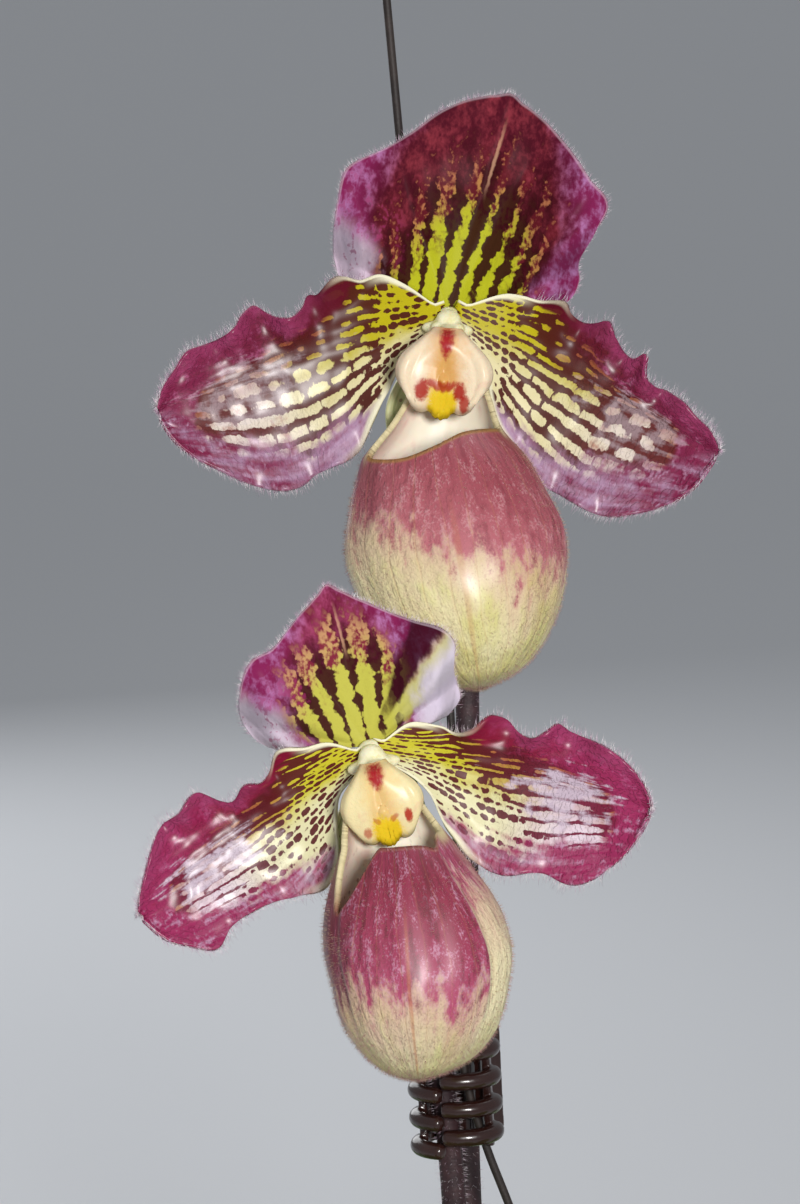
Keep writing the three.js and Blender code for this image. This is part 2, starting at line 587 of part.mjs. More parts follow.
function bloomGroup(title, bloom) {
  const group = new THREE.Group();
  group.position.set(...bloom.hub);
  group.rotation.set(radians(VIEW_TILT), radians(bloom.roll), 0, "XYZ");
  const lip = new THREE.Group();
  lip.position.set(bloom.pouch.mouth[0], 0, bloom.pouch.mouth[1]);
  lip.rotation.y = radians(bloom.pouch.lean);
  lip.add(named(`${title}_pouch`, pouchGeometry(bloom.pouch), "#b5506a", 0.4));
  group.add(
    named(`${title}_dorsal_sepal`, blade(dorsalSurface(bloom.dorsal), 7, 18, SEPAL_THICK), WINE),
    named(`${title}_petal_left`, blade(petalSurface(bloom.petals.left, -1), 24, 5, PETAL_THICK), WINE),
    named(`${title}_petal_right`, blade(petalSurface(bloom.petals.right, 1), 24, 5, PETAL_THICK), WINE),
    named(`${title}_synsepal`, blade(synsepalSurface(bloom.synsepal), 7, 4, SEPAL_THICK), "#b9c27a"),
    named(`${title}_column`, columnGeometry(bloom), CREAM, 0.35),
    named(`${title}_staminode`, staminodeGeometry(bloom), "#e8cf8e", 0.3),
    lip,
  );
  return group;
}

// ---------------------------------------------------------------- stems
// The ovary bends from the top of the scape to the back of the bloom's hub.
function ovaryPath(bloom, scape) {
  const hub = vec(...bloom.hub);
  const foot = vec(...scape.path.at(-1));
  const below = vec(...scape.path.at(-2));
  const rise = foot.clone().sub(below).normalize();
  const start = foot.clone().addScaledVector(rise, GAP + 0.1);
  const bend = start.clone().addScaledVector(rise, 9);
  const back = bend.clone().sub(hub).normalize();
  const end = hub.clone().addScaledVector(back, HUB_RADIUS + GAP + 0.1);
  return [start, start.clone().lerp(bend, 0.6), bend.clone().lerp(end, 0.3), end.clone().lerp(bend, 0.35), end]
    .map((p) => p.toArray());
}

function ovaryRadius(t, angle) {
  const swell = 0.68 + 0.32 * Math.sin(Math.PI * clamp(t * 1.05, 0, 1));
  return OVARY.radius * swell + OVARY.ribHeight * Math.cos(OVARY.ribs * angle) * swell;
}

// A folded green bract round the foot of the ovary, open in front.
function bractGeometry(path) {
  const curve = new THREE.CatmullRomCurve3(path.map((p) => vec(...p)), false, "centripetal");
  const surface = (u, v) => {
    const t = u * BRACT.length;
    const ahead = curve.getTangentAt(t);
    const right = vec(1, 0, 0).addScaledVector(ahead, -ahead.x).normalize();
    const rear = ahead.clone().cross(right);
    const wrap = radians(BRACT.wrap) * (1 - 0.86 * u ** 1.8);
    const angle = wrap * (2 * v - 1);
    const r = BRACT.radius + 1.6 * u ** 2;
    return curve.getPointAt(t).addScaledVector(right, r * Math.sin(angle))
      .addScaledVector(rear, r * Math.cos(angle));
  };
  return blade(surface, 5, 6, 0.8);
}

function flowerStem(title, bloom, scape) {
  const group = new THREE.Group();
  const path = ovaryPath(bloom, scape);
  const taper = (t) => lerp(scape.foot, scape.top, t);
  group.add(
    named(`${title}_scape`, stem(scape.path, taper, 8, 20), STEM, 0.8),
    named(`${title}_ovary`, stem(path, ovaryRadius, 12, 7), "#6f5a3c", 0.8),
    named(`${title}_bract`, bractGeometry(path), "#6f8a3e", 0.6),
  );
  return group;
}

// ---------------------------------------------------------------- claw clip
// The clip's frame: Z along its pin, -Y towards its mouth, the held stems at the middle.
const aroundStems = (side, degrees, grow, level) => [
  side * (CLIP.inX + grow) * Math.cos(radians(degrees)),
  -(CLIP.inY + grow) * Math.sin(radians(degrees)),
  level,
];

// A jaw's back plate, from its arm behind the stems to the roots of its fingers.
function jawPlate(side) {
  const half = CLIP.height / 2 - CLIP.fingerRadius;
  const [from, to, steps] = [-58, 12, 4];
  const shape = new THREE.Shape();
  for (let i = 0; i <= steps; i++) {
    const [x, y] = aroundStems(side, lerp(from, to, i / steps), CLIP.wall + 0.4, 0);
    if (i) shape.lineTo(x, y);
    else shape.moveTo(x, y);
  }
  for (let i = steps; i >= 0; i--) {
    const [x, y] = aroundStems(side, lerp(from, to, i / steps), 0.4, 0);
    shape.lineTo(x, y);
  }
  return placed(new THREE.ExtrudeGeometry(shape, { depth: 2 * half, bevelEnabled: false }), [0, 0, -half]);
}

// A round-ended finger that curls round the front of the held stems.
function finger(side, level, reach) {
  const path = [];
  for (let i = 0; i <= 5; i++) path.push(aroundStems(side, lerp(-12, reach, i / 5), CLIP.fingerRadius, level));
  const tube = stem(path, (t) => CLIP.fingerRadius * (1 - 0.12 * t), 6, 5);
  const tip = placed(new THREE.SphereGeometry(CLIP.fingerRadius * 0.9, 6, 4), path.at(-1));
  return solidOf(tube).add(solidOf(tip));
}

// One jaw: its back plate, its fingers, and the knuckles, arms and finger-plate round the pin.
function jawGeometry(side) {
  const half = CLIP.height / 2;
  const pitch = (CLIP.height - 2 * CLIP.fingerRadius) / (CLIP.fingers - 0.5);
  let jaw = solidOf(jawPlate(side));
  for (let i = 0; i < CLIP.fingers; i++) {
    const level = -half + CLIP.fingerRadius + (i + (side > 0 ? 0.5 : 0)) * pitch;
    jaw = jaw.add(finger(side, level, side > 0 ? 94 : 72));
  }
  const arm = radians(side * CLIP.handleTurn);
  const tall = 0.2 * CLIP.height;
  const outward = (distance, level) => [
    distance * Math.sin(arm), CLIP.pinY + distance * Math.cos(arm), level,
  ];
  const pieces = [];
  for (const share of side > 0 ? [-0.76, 0.29] : [-0.29, 0.76]) {
    const level = share * half;
    pieces.push(
      placed(
        new THREE.CylinderGeometry(CLIP.knuckle, CLIP.knuckle, tall, 12),
        [0, CLIP.pinY, level],
        [Math.PI / 2, 0, 0],
      ),
      placed(new THREE.BoxGeometry(5.2, 1.5, tall), [side * 2.7, CLIP.pinY - 2, level], [0, 0, side * -0.75]),
      placed(new THREE.BoxGeometry(1.5, 4, tall), outward(3, level), [0, 0, -arm]),
    );
  }
  const plateLength = CLIP.handle - 3.4;
  pieces.push(placed(
    new THREE.BoxGeometry(1.5, plateLength, CLIP.height * 0.94),
    outward(3.6 + plateLength / 2, 0),
    [0, 0, -arm],
  ));
  for (const piece of pieces) jaw = jaw.add(solidOf(piece));
  const bore = placed(
    new THREE.CylinderGeometry(CLIP.pin + GAP, CLIP.pin + GAP, 2 * CLIP.height, 12),
    [0, CLIP.pinY, 0],
    [Math.PI / 2, 0, 0],
  );
  return geometryFrom(jaw.subtract(solidOf(bore)));
}

function clipGroup() {
  const group = new THREE.Group();
  group.position.set(...CLIP.at);
  group.rotation.set(0, radians(CLIP.tilt), radians(CLIP.yaw));
  const pin = placed(
    new THREE.CylinderGeometry(CLIP.pin, CLIP.pin, CLIP.height * 0.96, 10),
    [0, CLIP.pinY, 0],
    [Math.PI / 2, 0, 0],
  );
  group.add(
    named("clip_jaw_right", jawGeometry(1), "#2a1a17", 0.25),
    named("clip_jaw_left", jawGeometry(-1), "#2a1a17", 0.25),
    named("clip_pin", pin, "#8c8c8c", 0.3),
  );
  return group;
}

// ---------------------------------------------------------------- the plant
const plant = new THREE.Group();
plant.add(potMesh(), barkMesh());
for (const [key, crown] of Object.entries(CROWNS)) {
  plant.add(crownMesh(`crown_${key}`, crown));
  crown.leaves.forEach((leaf, i) => plant.add(leafMesh(`leaf_${key}${i + 1}`, crown, leaf)));
}
plant.add(
  flowerStem("lower", LOWER, SCAPES.lower),
  flowerStem("upper", UPPER, SCAPES.upper),
  bloomGroup("lower", LOWER),
  bloomGroup("upper", UPPER),
  named("stake", stem(STAKE.path, () => STAKE.radius, 6, 30), "#2b2422", 0.5),
  clipGroup(),
);

export default plant;
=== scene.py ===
"""The looks of a potted slipper orchid with two open blooms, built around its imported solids.

Lengths in the tables are millimetres, angles are degrees. The frame is the solids': the origin at
the centre of the pot's base, +Z up, and -Y the side that the blooms face.
"""

import math
import random
from functools import partialmethod

import bmesh
import bpy
from mathutils import Matrix, Vector, noise


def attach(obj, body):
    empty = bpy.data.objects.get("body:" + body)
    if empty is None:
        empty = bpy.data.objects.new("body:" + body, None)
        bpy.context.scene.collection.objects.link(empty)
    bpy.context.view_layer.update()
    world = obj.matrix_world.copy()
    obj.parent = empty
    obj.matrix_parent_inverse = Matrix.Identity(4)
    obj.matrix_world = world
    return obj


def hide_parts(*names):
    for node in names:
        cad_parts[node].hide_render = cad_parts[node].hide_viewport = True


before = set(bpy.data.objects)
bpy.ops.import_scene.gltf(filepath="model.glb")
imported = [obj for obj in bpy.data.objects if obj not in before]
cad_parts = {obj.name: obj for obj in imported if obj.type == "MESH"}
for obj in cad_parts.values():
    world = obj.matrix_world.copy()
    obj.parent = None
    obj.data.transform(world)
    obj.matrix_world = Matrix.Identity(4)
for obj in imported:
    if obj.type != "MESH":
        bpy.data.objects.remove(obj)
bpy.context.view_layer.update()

# ---------------------------------------------------------------- sizes
MM = 0.001
IN_MM = Matrix.Scale(MM, 4)
GAP = 0.3
HUB_RADIUS = 2.6
VIEW_TILT = -8
THICK = {"sepal": 0.9, "petal": 0.8, "synsepal": 0.9, "pouch": 1.1, "shield": 1.4, "bract": 0.8, "leaf": 1.3}
STEPS = {"sepal": (70, 170), "petal": (150, 56), "synsepal": (50, 40), "pouch": (180, 96), "shield": (60, 72),
         "neck": (60, 36), "scape": (160, 20), "ovary": (60, 48), "bract": (30, 40), "leaf": (90, 24),
         "stake": (140, 12), "jaw": (16, 12), "finger": (34, 20)}

# Margins are (distance along the midrib, distance from it), sepal outlines (angle from upright,
# distance from the hub), and pouch tables (height above the middle of the mouth, distance).
LOWER = {
    "title": "lower", "hub": (-15.4, -38.6, 264.4), "roll": -13,
    "dorsal": {
        "outline": [
            (-80, 16), (-76, 19.5), (-67, 23.2), (-55, 25), (-41, 26), (-32, 24.6), (-22, 25.5), (-11, 27.4),
            (-2, 29.2), (8, 26.6), (20, 24.4), (32, 23.8), (46, 24.6), (53, 23.6), (59, 20.6), (67, 19.2),
            (76, 18), (81, 15),
        ],
        "hood": 9, "roll": 5, "tip": -2,
    },
    "petals": {
        "left": {
            "base": (1.9, -1.8), "length": 47.5, "droop": 21, "wave": 11.2, "phase": 0.2,
            "upper": [
                (0, 2), (3.2, 5.7), (7.3, 7.4), (11.6, 9.6), (14.5, 7.6), (17.1, 6.5), (20, 7.8), (23.3, 6.6),
                (25.5, 8), (27.8, 11.6), (31.8, 10.3), (36.4, 10), (39.8, 7.5), (43.3, 4.4), (46, 1.8),
                (47.5, 0),
            ],
            "lower": [
                (0, 2), (4.2, 2.4), (7.2, 3.5), (9.8, 6.5), (12, 10.5), (15.4, 14.3), (18, 15.4),
                (22.5, 14.1), (29, 11.8), (35.6, 11.6), (39.5, 13.4), (43.9, 9.7), (46.7, 5.5), (47.5, 2),
            ],
        },
        "right": {
            "base": (1.9, -1.4), "length": 48.4, "droop": 24, "wave": 11.8, "phase": 2.6,
            "upper": [
                (0, 2.2), (3.5, 5.9), (6.5, 6.6), (9.7, 6.4), (12.3, 5.9), (15, 7), (18, 10.2), (20.5, 10),
                (23.7, 7.9), (25.5, 7.5), (28, 9.2), (29.9, 11), (32, 10.1), (36, 9.3), (39.6, 8.2),
                (42.7, 6.7), (45.7, 4.2), (47.6, 1.8), (48.4, 0),
            ],
            "lower": [
                (0, 2), (4, 2.6), (8, 4.4), (10.5, 6.5), (13.3, 10.5), (15.9, 12.8), (18.4, 15.1),
                (20.8, 16.4), (24.5, 17.4), (29.8, 16), (32.5, 15.6), (36.5, 16.6), (40.7, 14.9),
                (43.6, 11.9), (46.3, 7.9), (47.9, 3.7), (48.4, 1.6),
            ],
        },
    },
    "pouch": {
        "mouth": (1.7, -17.6), "lean": 8.7,
        "left": [
            (-40.8, 0), (-39.6, 4), (-37.2, 7.6), (-32.4, 11.4), (-28.2, 13.6), (-23, 15), (-17, 15.9),
            (-11, 15.2), (-5, 13.4), (0, 11.6), (7, 8.4), (14, 4.6),
        ],
        "right": [
            (-40.8, 0), (-39.8, 4.2), (-38.2, 8.3), (-34.9, 12.5), (-29.7, 15.9), (-25, 17.9), (-19, 18.9),
            (-13.4, 17.9), (-9.6, 16.2), (-4.5, 13), (0, 10.2), (7, 7.4), (14, 4.4),
        ],
        "front": [
            (-40.8, 15), (-39.6, 20), (-36, 25), (-30, 28.8), (-24, 29.8), (-14, 28.2), (-6, 25.2), (0, 21),
            (6, 15), (14, 7),
        ],
        "rear": [
            (-40.8, 15), (-39.6, 10.5), (-36, 6.2), (-30, 3.2), (-20, 1.6), (-8, 1.4), (0, 1.6), (14, 1),
        ],
        "rim_left": [
            (0, 0.4), (12, 0.3), (24, -0.4), (47, -9.4), (57, -10.6), (67, -6.4), (84, 1.6), (110, 7.6),
            (146, 12), (180, 13.8),
        ],
        "rim_right": [
            (0, 0.4), (12, 0.4), (24, 0.2), (36, -0.5), (44, 0.1), (57, 1.9), (78, 2.8), (106, 7.2),
            (144, 12), (180, 13.8),
        ],
        "crease_depth": 1, "crease_end": -27,
    },
    "staminode": {"width": 13.8, "top": -2.8, "bottom": -16.8, "dish": 0.3},
    "synsepal": {"length": 29, "width": 20, "lean": 8.7},
}
UPPER = {
    "title": "upper", "hub": (-0.8, 6, 339.1), "roll": 5,
    "dorsal": {
        "outline": [
            (-82, 16), (-78, 20.5), (-70, 23.7), (-60, 26.4), (-50, 29.4), (-40, 32.8), (-30, 32.8),
            (-17, 34.3), (-7, 37.7), (2, 40.3), (10, 41.8), (20, 40.4), (31, 37.9), (42, 35.8), (52, 35.3),
            (56, 31.5), (61, 27.2), (70, 25.8), (78, 22.5), (82, 18),
        ],
        "hood": 12, "roll": 6, "tip": 11,
    },
    "petals": {
        "left": {
            "base": (1.8, -1.3), "length": 55.2, "droop": 23.5, "wave": 10.4, "phase": 1.1,
            "upper": [
                (0, 3), (3.8, 8.1), (8.3, 11.7), (11.6, 11.6), (15.1, 13.4), (17.8, 12.9), (20.2, 11.6),
                (22.1, 12), (23.9, 10), (26.4, 8.8), (29, 9.9), (32.5, 13.4), (34.7, 12.4), (36.6, 10.4),
                (40.6, 9.3), (47, 8.6), (49.9, 6.3), (53.3, 3.4), (55.2, 0.6),
            ],
            "lower": [
                (0, 2), (5, 3.5), (9.9, 6.5), (13.9, 10.4), (18.2, 14.7), (21.5, 18.4), (23.9, 19.7),
                (27.7, 20.1), (31.5, 20.6), (34.5, 21.8), (38.4, 21.3), (43.2, 18.5), (48.2, 13.9),
                (52.1, 9.7), (54.5, 5.2), (55.2, 2),
            ],
        },
        "right": {
            "base": (2.3, -0.9), "length": 54.1, "droop": 23, "wave": 9.6, "phase": 0.4,
            "upper": [
                (0, 3), (5, 8), (8.4, 9.4), (11.7, 10.1), (15.6, 11.8), (18.2, 10.4), (20.8, 10.2),
                (23.1, 11.2), (24.5, 12.4), (26.5, 11), (29.7, 8.9), (32.4, 8.5), (33.8, 10.2), (35.1, 7),
                (37.2, 5.7), (41.1, 6), (43.9, 5.4), (47.5, 4.1), (51.1, 2.8), (54.1, 0.5),
            ],
            "lower": [
                (0, 2), (5, 3.5), (10, 8), (16, 15.2), (19.1, 16.9), (23.4, 18.7), (27.2, 20.4), (31.4, 20.6),
                (38.1, 20.8), (41.8, 20), (45.5, 17.6), (49.6, 13.8), (52.6, 9.3), (53.8, 5), (54.1, 1.8),
            ],
        },
    },
    "pouch": {
        "mouth": (0.8, -25.6), "lean": -13.9,
        "left": [
            (-45.3, 0), (-44.2, 4.4), (-42.6, 8.3), (-38.6, 13.1), (-32.5, 17.2), (-23.6, 20.2), (-17, 21),
            (-8.2, 18.9), (-2.3, 16.4), (0, 15.3), (6, 10.4), (13, 7.2), (21, 4.6),
        ],
        "right": [
            (-45.3, 0), (-44.2, 4.4), (-42.6, 8.1), (-38.6, 12.7), (-32.5, 16.7), (-24.5, 19.4), (-19, 19.9),
            (-9.7, 17.6), (-4.1, 15.3), (-0.7, 13.1), (2, 11.2), (8, 9), (21, 4.6),
        ],
        "front": [
            (-45.3, 17), (-44.2, 22.4), (-40, 28.5), (-33, 32.8), (-26, 33.9), (-16, 32.2), (-7, 28.8),
            (0, 24.6), (8, 17), (21, 8),
        ],
        "rear": [(-45.3, 17), (-44.2, 12), (-40, 7), (-33, 3.4), (-22, 1.4), (-8, 1.2), (0, 1.6), (21, 1)],
        "rim_left": [
            (0, 0.3), (14, -0.8), (28, -1.5), (46, -1.1), (60, -0.5), (74, 1), (90, 5), (112, 12.6),
            (146, 19.2), (180, 21.9),
        ],
        "rim_right": [
            (0, 0.3), (14, 1.4), (28, 1.7), (44, 1.6), (58, 1.5), (72, 1.5), (88, 5), (112, 12.6),
            (146, 19.2), (180, 21.9),
        ],
        "crease_depth": 0.4, "crease_end": -14,
    },
    "staminode": {"width": 17, "top": -4, "bottom": -20, "dish": 1.3},
    "synsepal": {"length": 36, "width": 26, "lean": -10},
}
POUCH_LANES = (0, 16, 32, 48, 55, 75, 98, 125, 152, 180)
SYNSEPAL_HALF = [(0, 0.13), (0.2, 0.34), (0.45, 0.5), (0.7, 0.42), (0.9, 0.2), (1, 0.05)]
SHIELD_HALF = [(0, 0.13), (0.12, 0.21), (0.25, 0.31), (0.45, 0.45), (0.63, 0.5), (0.8, 0.47), (1, 0.36)]
SHIELD_EDGE = [(0, 1.0), (0.16, 0.985), (0.28, 0.94), (0.4, 0.93), (0.58, 0.95), (0.8, 0.9), (1, 0.76)]
LEAF_HALF = [(0, 0.07), (0.12, 0.22), (0.3, 0.43), (0.5, 0.5), (0.7, 0.46), (0.86, 0.31), (0.95, 0.14),
             (1, 0.03)]
COLUMN_LUMPS = [((0, 0.4, -0.6), (2.4, 1.8, 2)), ((0, -2.6, -1.7), (2.5, 2, 2.3)),
                ((2.5, -2.4, -3.2), (2.5, 1.4, 1.3)), ((-2.5, -2.4, -3.2), (2.5, 1.4, 1.3))]
# Each stem's path, and its radius at its foot and its top.
SCAPES = {
    "lower": ([(3, -9, 94.5), (2.2, -8.6, 130), (0.4, -8, 170), (-1.6, -8, 192), (-3, -9.6, 206),
               (-5.2, -13, 222), (-8.4, -17.6, 240)], 2.6, 2.1),
    "upper": ([(9, 13, 94.5), (5.4, 15, 130), (3, 17, 180), (3, 19.4, 220), (3.2, 22, 261), (2.5, 24, 313)],
              2.7, 2.2),
}
# Each crown's place, and its leaves' turn, length, width, rise, pitch at the tip and height.
CROWNS = {
    "a": ((3, -9), [(186, 118, 38, 40, -22, 85.6), (232, 104, 36, 60, 2, 91.2), (278, 122, 40, 38, -24, 85.6),
                    (326, 112, 37, 57, -2, 91.2)]),
    "b": ((9, 13), [(14, 126, 40, 40, -22, 85.6), (62, 108, 36, 47, -4, 91.2),
                    (108, 118, 38, 38, -26, 85.6)]),
    "c": ((-17, 16), [(128, 92, 32, 54, 2, 91.2), (172, 108, 34, 36, -22, 85.6)]),
}
POT_WALL = [(0, 0), (39, 0), (40, 1), (41.2, 8), (41.8, 8.6), (53.4, 81), (54, 82.6), (57, 83.2), (57.7, 84),
            (58, 86.5), (57.8, 89), (57.2, 89.8), (56, 90), (53.8, 90), (53, 89.4), (52.6, 88), (38, 3.6),
            (37, 3), (0, 3)]
DRAIN = {"count": 8, "reach": 27.2, "radius": 2.5}
BARK = {"foot": 37, "reach": 50, "deep": 72.6, "middle": 39.7, "chips": 330, "level": 74.5, "heap": 5.5,
        "clear": 8.5, "slope": 0.28}
STAKE_RADIUS = 0.8
STAKE_PATH = [(32.5, -9, 26), (31, -9, 84), (24.4, -8.4, 130), (16.2, -8, 155), (10.8, -7.9, 170),
              (6.6, -7.9, 181), (2.9, -7.9, 193), (1.4, -7.2, 204), (1.2, -4, 222), (0.4, 2.8, 250),
              (-1.6, 10.5, 280), (-4.4, 18, 315), (-8, 23.4, 350), (-13.9, 29, 412)]
CLIP = {"at": (0.5, -8, 191.5), "yaw": -14, "tilt": -3, "height": 22, "in_x": 6, "in_y": 3.9, "wall": 1.6,
        "fingers": 4, "finger_radius": 1.45, "knuckle": 2, "bore": 1.05, "pin_y": 8.2, "handle": 8.5,
        "handle_turn": 38, "web": 1.5}

# ---------------------------------------------------------------- shared helpers


def clamp(x, low=0.0, high=1.0):
    return max(low, min(high, x))


def lerp(a, b, t):
    return a + (b - a) * t


def smooth(x, low, high):
    t = clamp((x - low) / (high - low))
    return t * t * (3 - 2 * t)


def bell(x, middle, half):
    """1 at the middle, falling smoothly to 0 half a width away on either side."""
    return 1 - smooth(abs(x - middle), 0, half)


def through(points, x):
    """A smooth curve through (x, y) points, read as y for any x."""
    last = len(points) - 1
    i = 0
    while i < last - 1 and x > points[i + 1][0]:
        i += 1
    (x0, y0), (x1, y1) = points[i], points[i + 1]

    def slope(a, b):
        return (points[b][1] - points[a][1]) / (points[b][0] - points[a][0])

    def ease(a, b):
        return (a + b) / 4 if a * b <= 0 else (a + b) / 2

    here = slope(i, i + 1)
    before = slope(i - 1, i) if i > 0 else here
    after = slope(i + 1, i + 2) if i < last - 1 else here
    span = x1 - x0
    t = clamp((x - x0) / span)
    m0 = ease(before, here) * span
    m1 = ease(here, after) * span
    return ((2 * t ** 3 - 3 * t ** 2 + 1) * y0 + (t ** 3 - 2 * t ** 2 + t) * m0
            + (3 * t ** 2 - 2 * t ** 3) * y1 + (t ** 3 - t ** 2) * m1)


def turned(tilt, roll):
    return Matrix.Rotation(math.radians(tilt), 4, "X") @ Matrix.Rotation(math.radians(roll), 4, "Y")


def bloom_place(bloom):
    """From a bloom's own millimetres (X right, Z up, -Y to the viewer) to the frame's metres."""
    hub = Matrix.Translation(Vector(bloom["hub"]))
    return IN_MM @ hub @ turned(VIEW_TILT, bloom["roll"])


def lip_place(bloom):
    mouth = bloom["pouch"]["mouth"]
    down = Matrix.Translation(Vector((mouth[0], 0, mouth[1])))
    return bloom_place(bloom) @ down @ turned(0, bloom["pouch"]["lean"])


def surface_mesh(kind, form, seam=None):
    """A bmesh grid laid on a form, which is shape(u, v) and its UV charts. A seam in u or v closes a tube."""
    shape, charts = form
    bm = bmesh.new()
    charts = {"UVMap": lambda u, v: (u, v), **charts}
    for name in charts:
        bm.loops.layers.uv.new(name)
    layers = [(bm.loops.layers.uv[name], chart) for name, chart in charts.items()]
    steps_u, steps_v = STEPS[kind]
    bmesh.ops.create_grid(bm, x_segments=steps_u, y_segments=steps_v, size=0.5)
    for face in bm.faces:
        for loop in face.loops:
            u, v = loop.vert.co.x + 0.5, loop.vert.co.y + 0.5
            for layer, chart in layers:
                loop[layer].uv = chart(u, v)
    if seam:
        axis = "uv".index(seam)
        first = {round(vert.co[1 - axis], 6): vert for vert in bm.verts if vert.co[axis] < -0.4999}
        last = [vert for vert in bm.verts if vert.co[axis] > 0.4999]
        bmesh.ops.weld_verts(bm, targetmap={vert: first[round(vert.co[1 - axis], 6)] for vert in last})
    for vert in bm.verts:
        vert.co = shape(vert.co.x + 0.5, vert.co.y + 0.5)
    if seam:
        bmesh.ops.remove_doubles(bm, verts=bm.verts, dist=1e-4)
    return bm


def tube_mesh(kind, form):
    """A closed tube whose faces are turned outwards again after its ends are welded."""
    bm = surface_mesh(kind, form, "v")
    bmesh.ops.recalc_face_normals(bm, faces=bm.faces)
    return bm


def lathe(profile, steps, near):
    """A profile of (radius, height) points spun round the Z axis. Points nearer than near are joined."""
    bm = bmesh.new()
    ring = [bm.verts.new((r, 0, z)) for r, z in profile]
    edges = [bm.edges.new(pair) for pair in zip(ring, ring[1:])]
    bmesh.ops.spin(bm, geom=ring + edges, axis=(0, 0, 1), cent=(0, 0, 0), angle=2 * math.pi, steps=steps,
                   use_merge=True)
    bmesh.ops.remove_doubles(bm, verts=bm.verts, dist=near)
    bmesh.ops.recalc_face_normals(bm, faces=bm.faces)
    return bm


def rod(bm, radius, depth, segments, at):
    bmesh.ops.create_cone(bm, cap_ends=True, segments=segments, radius1=radius, radius2=radius, depth=depth,
                          matrix=at)


def add_mesh(whole, part):
    """Adds one bmesh to another, and frees it."""
    mesh = bpy.data.meshes.new("part")
    part.to_mesh(mesh)
    part.free()
    whole.from_mesh(mesh)
    bpy.data.meshes.remove(mesh)


def put(name, bm, materials=()):
    """Makes a bmesh an object of the scene, and frees it."""
    mesh = bpy.data.meshes.new(name)
    bm.to_mesh(mesh)
    bm.free()
    for material in materials:
        mesh.materials.append(material)
    found = bpy.data.objects.new(name, mesh)
    bpy.context.scene.collection.objects.link(found)
    return found


def smoothed(bm):
    for face in bm.faces:
        face.smooth = True
    return bm


def piece(name, bm, materials, slot, place=IN_MM, body="plant", flip=False):
    """A smooth piece that rides on a body, from a bmesh in millimetres. NODE_fine stands for NODE."""
    if flip:
        bmesh.ops.reverse_faces(bm, faces=bm.faces)
    bmesh.ops.transform(bm, matrix=place, verts=bm.verts)
    found = put(name, smoothed(bm), materials)
    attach(found, body)
    if name.endswith("_fine"):
        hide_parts(name.removesuffix("_fine"))
    return found


def blade(name, kind, form, materials, slot, place=IN_MM, flip=False, seam=None, offset=0):
    """A piece laid on a form, given its kind's thickness, with its back in the last material."""
    found = piece(name, surface_mesh(kind, form, seam), materials, slot, place, flip=flip)
    shell = found.modifiers.new("thickness", "SOLIDIFY")
    shell.thickness = THICK[kind] * MM
    shell.offset = offset
    shell.use_even_offset = True
    shell.material_offset = len(materials) - 1
    return found


def melt(found, voxel, rounds):
    """Joins what overlaps in a piece into one skin, and rounds its corners."""
    skin = found.modifiers.new("melt", "REMESH")
    skin.mode = "VOXEL"
    skin.voxel_size = voxel * MM
    skin.use_smooth_shade = True
    soft = found.modifiers.new("soften", "SMOOTH")
    soft.iterations = rounds
    soft.factor = 0.5


def settle(found):
    """Applies a piece's modifiers to its mesh."""
    bpy.context.view_layer.update()
    ready = found.evaluated_get(bpy.context.evaluated_depsgraph_get())
    mesh = bpy.data.meshes.new_from_object(ready)
    found.modifiers.clear()
    found.data = mesh


def drill(found, cutter):
    """Cuts a bmesh of closed shapes out of a piece and keeps only the result."""
    bmesh.ops.transform(cutter, matrix=IN_MM, verts=cutter.verts)
    tool = put("cutter", cutter)
    cut = found.modifiers.new("holes", "BOOLEAN")
    cut.operation = "DIFFERENCE"
    cut.object = tool
    settle(found)
    bpy.data.objects.remove(tool)


# ---------------------------------------------------------------- material helpers
def colour(code):
    """A web colour code as the linear colour that shaders take."""
    def linear(channel):
        return channel / 12.92 if channel <= 0.04045 else ((channel + 0.055) / 1.055) ** 2.4
    return tuple(linear(int(code[i:i + 2], 16) / 255) for i in (1, 3, 5)) + (1.0,)


class Field:
    """A number that varies over a surface. Arithmetic on it adds Math nodes to its material."""

    def __init__(self, paint, socket):
        self.paint = paint
        self.socket = socket

    def math(self, operation, *others):
        node = self.paint.node("Math", operation=operation)
        for place, value in zip(node.inputs, (self, *others)):
            self.paint.feed(place, value)
        return Field(self.paint, node.outputs[0])

    def __rsub__(self, other):
        return self * -1 + other

    def rise(self, low, high):
        """0 below low and 1 above high, smooth between them. low may be above high."""
        node = self.paint.node("MapRange", interpolation_type="SMOOTHSTEP")
        if low > high:
            low, high = high, low
            node.inputs["To Min"].default_value = 1
            node.inputs["To Max"].default_value = 0
        self.paint.feed(node.inputs["Value"], self)
        node.inputs["From Min"].default_value = low
        node.inputs["From Max"].default_value = high
        return Field(self.paint, node.outputs["Result"])

    def bump(self, middle, half):
        """1 at the middle, falling smoothly to 0 half a width away on either side."""
        return (self - middle).abs().rise(half, 0)

    def ridge(self, wide, narrow):
        """1 along the whole numbers and a half of a field of rows, 0 further off than wide."""
        return (self.fract() - 0.5).abs().rise(wide, narrow)


for sign, operation in {"__add__": "ADD", "__radd__": "ADD", "__sub__": "SUBTRACT", "__mul__": "MULTIPLY",
                        "__rmul__": "MULTIPLY", "__truediv__": "DIVIDE", "floor": "FLOOR", "fract": "FRACT",
                        "sin": "SINE", "cos": "COSINE", "abs": "ABSOLUTE", "power": "POWER",
                        "most": "MAXIMUM", "least": "MINIMUM"}.items():
    setattr(Field, sign, partialmethod(Field.math, operation))


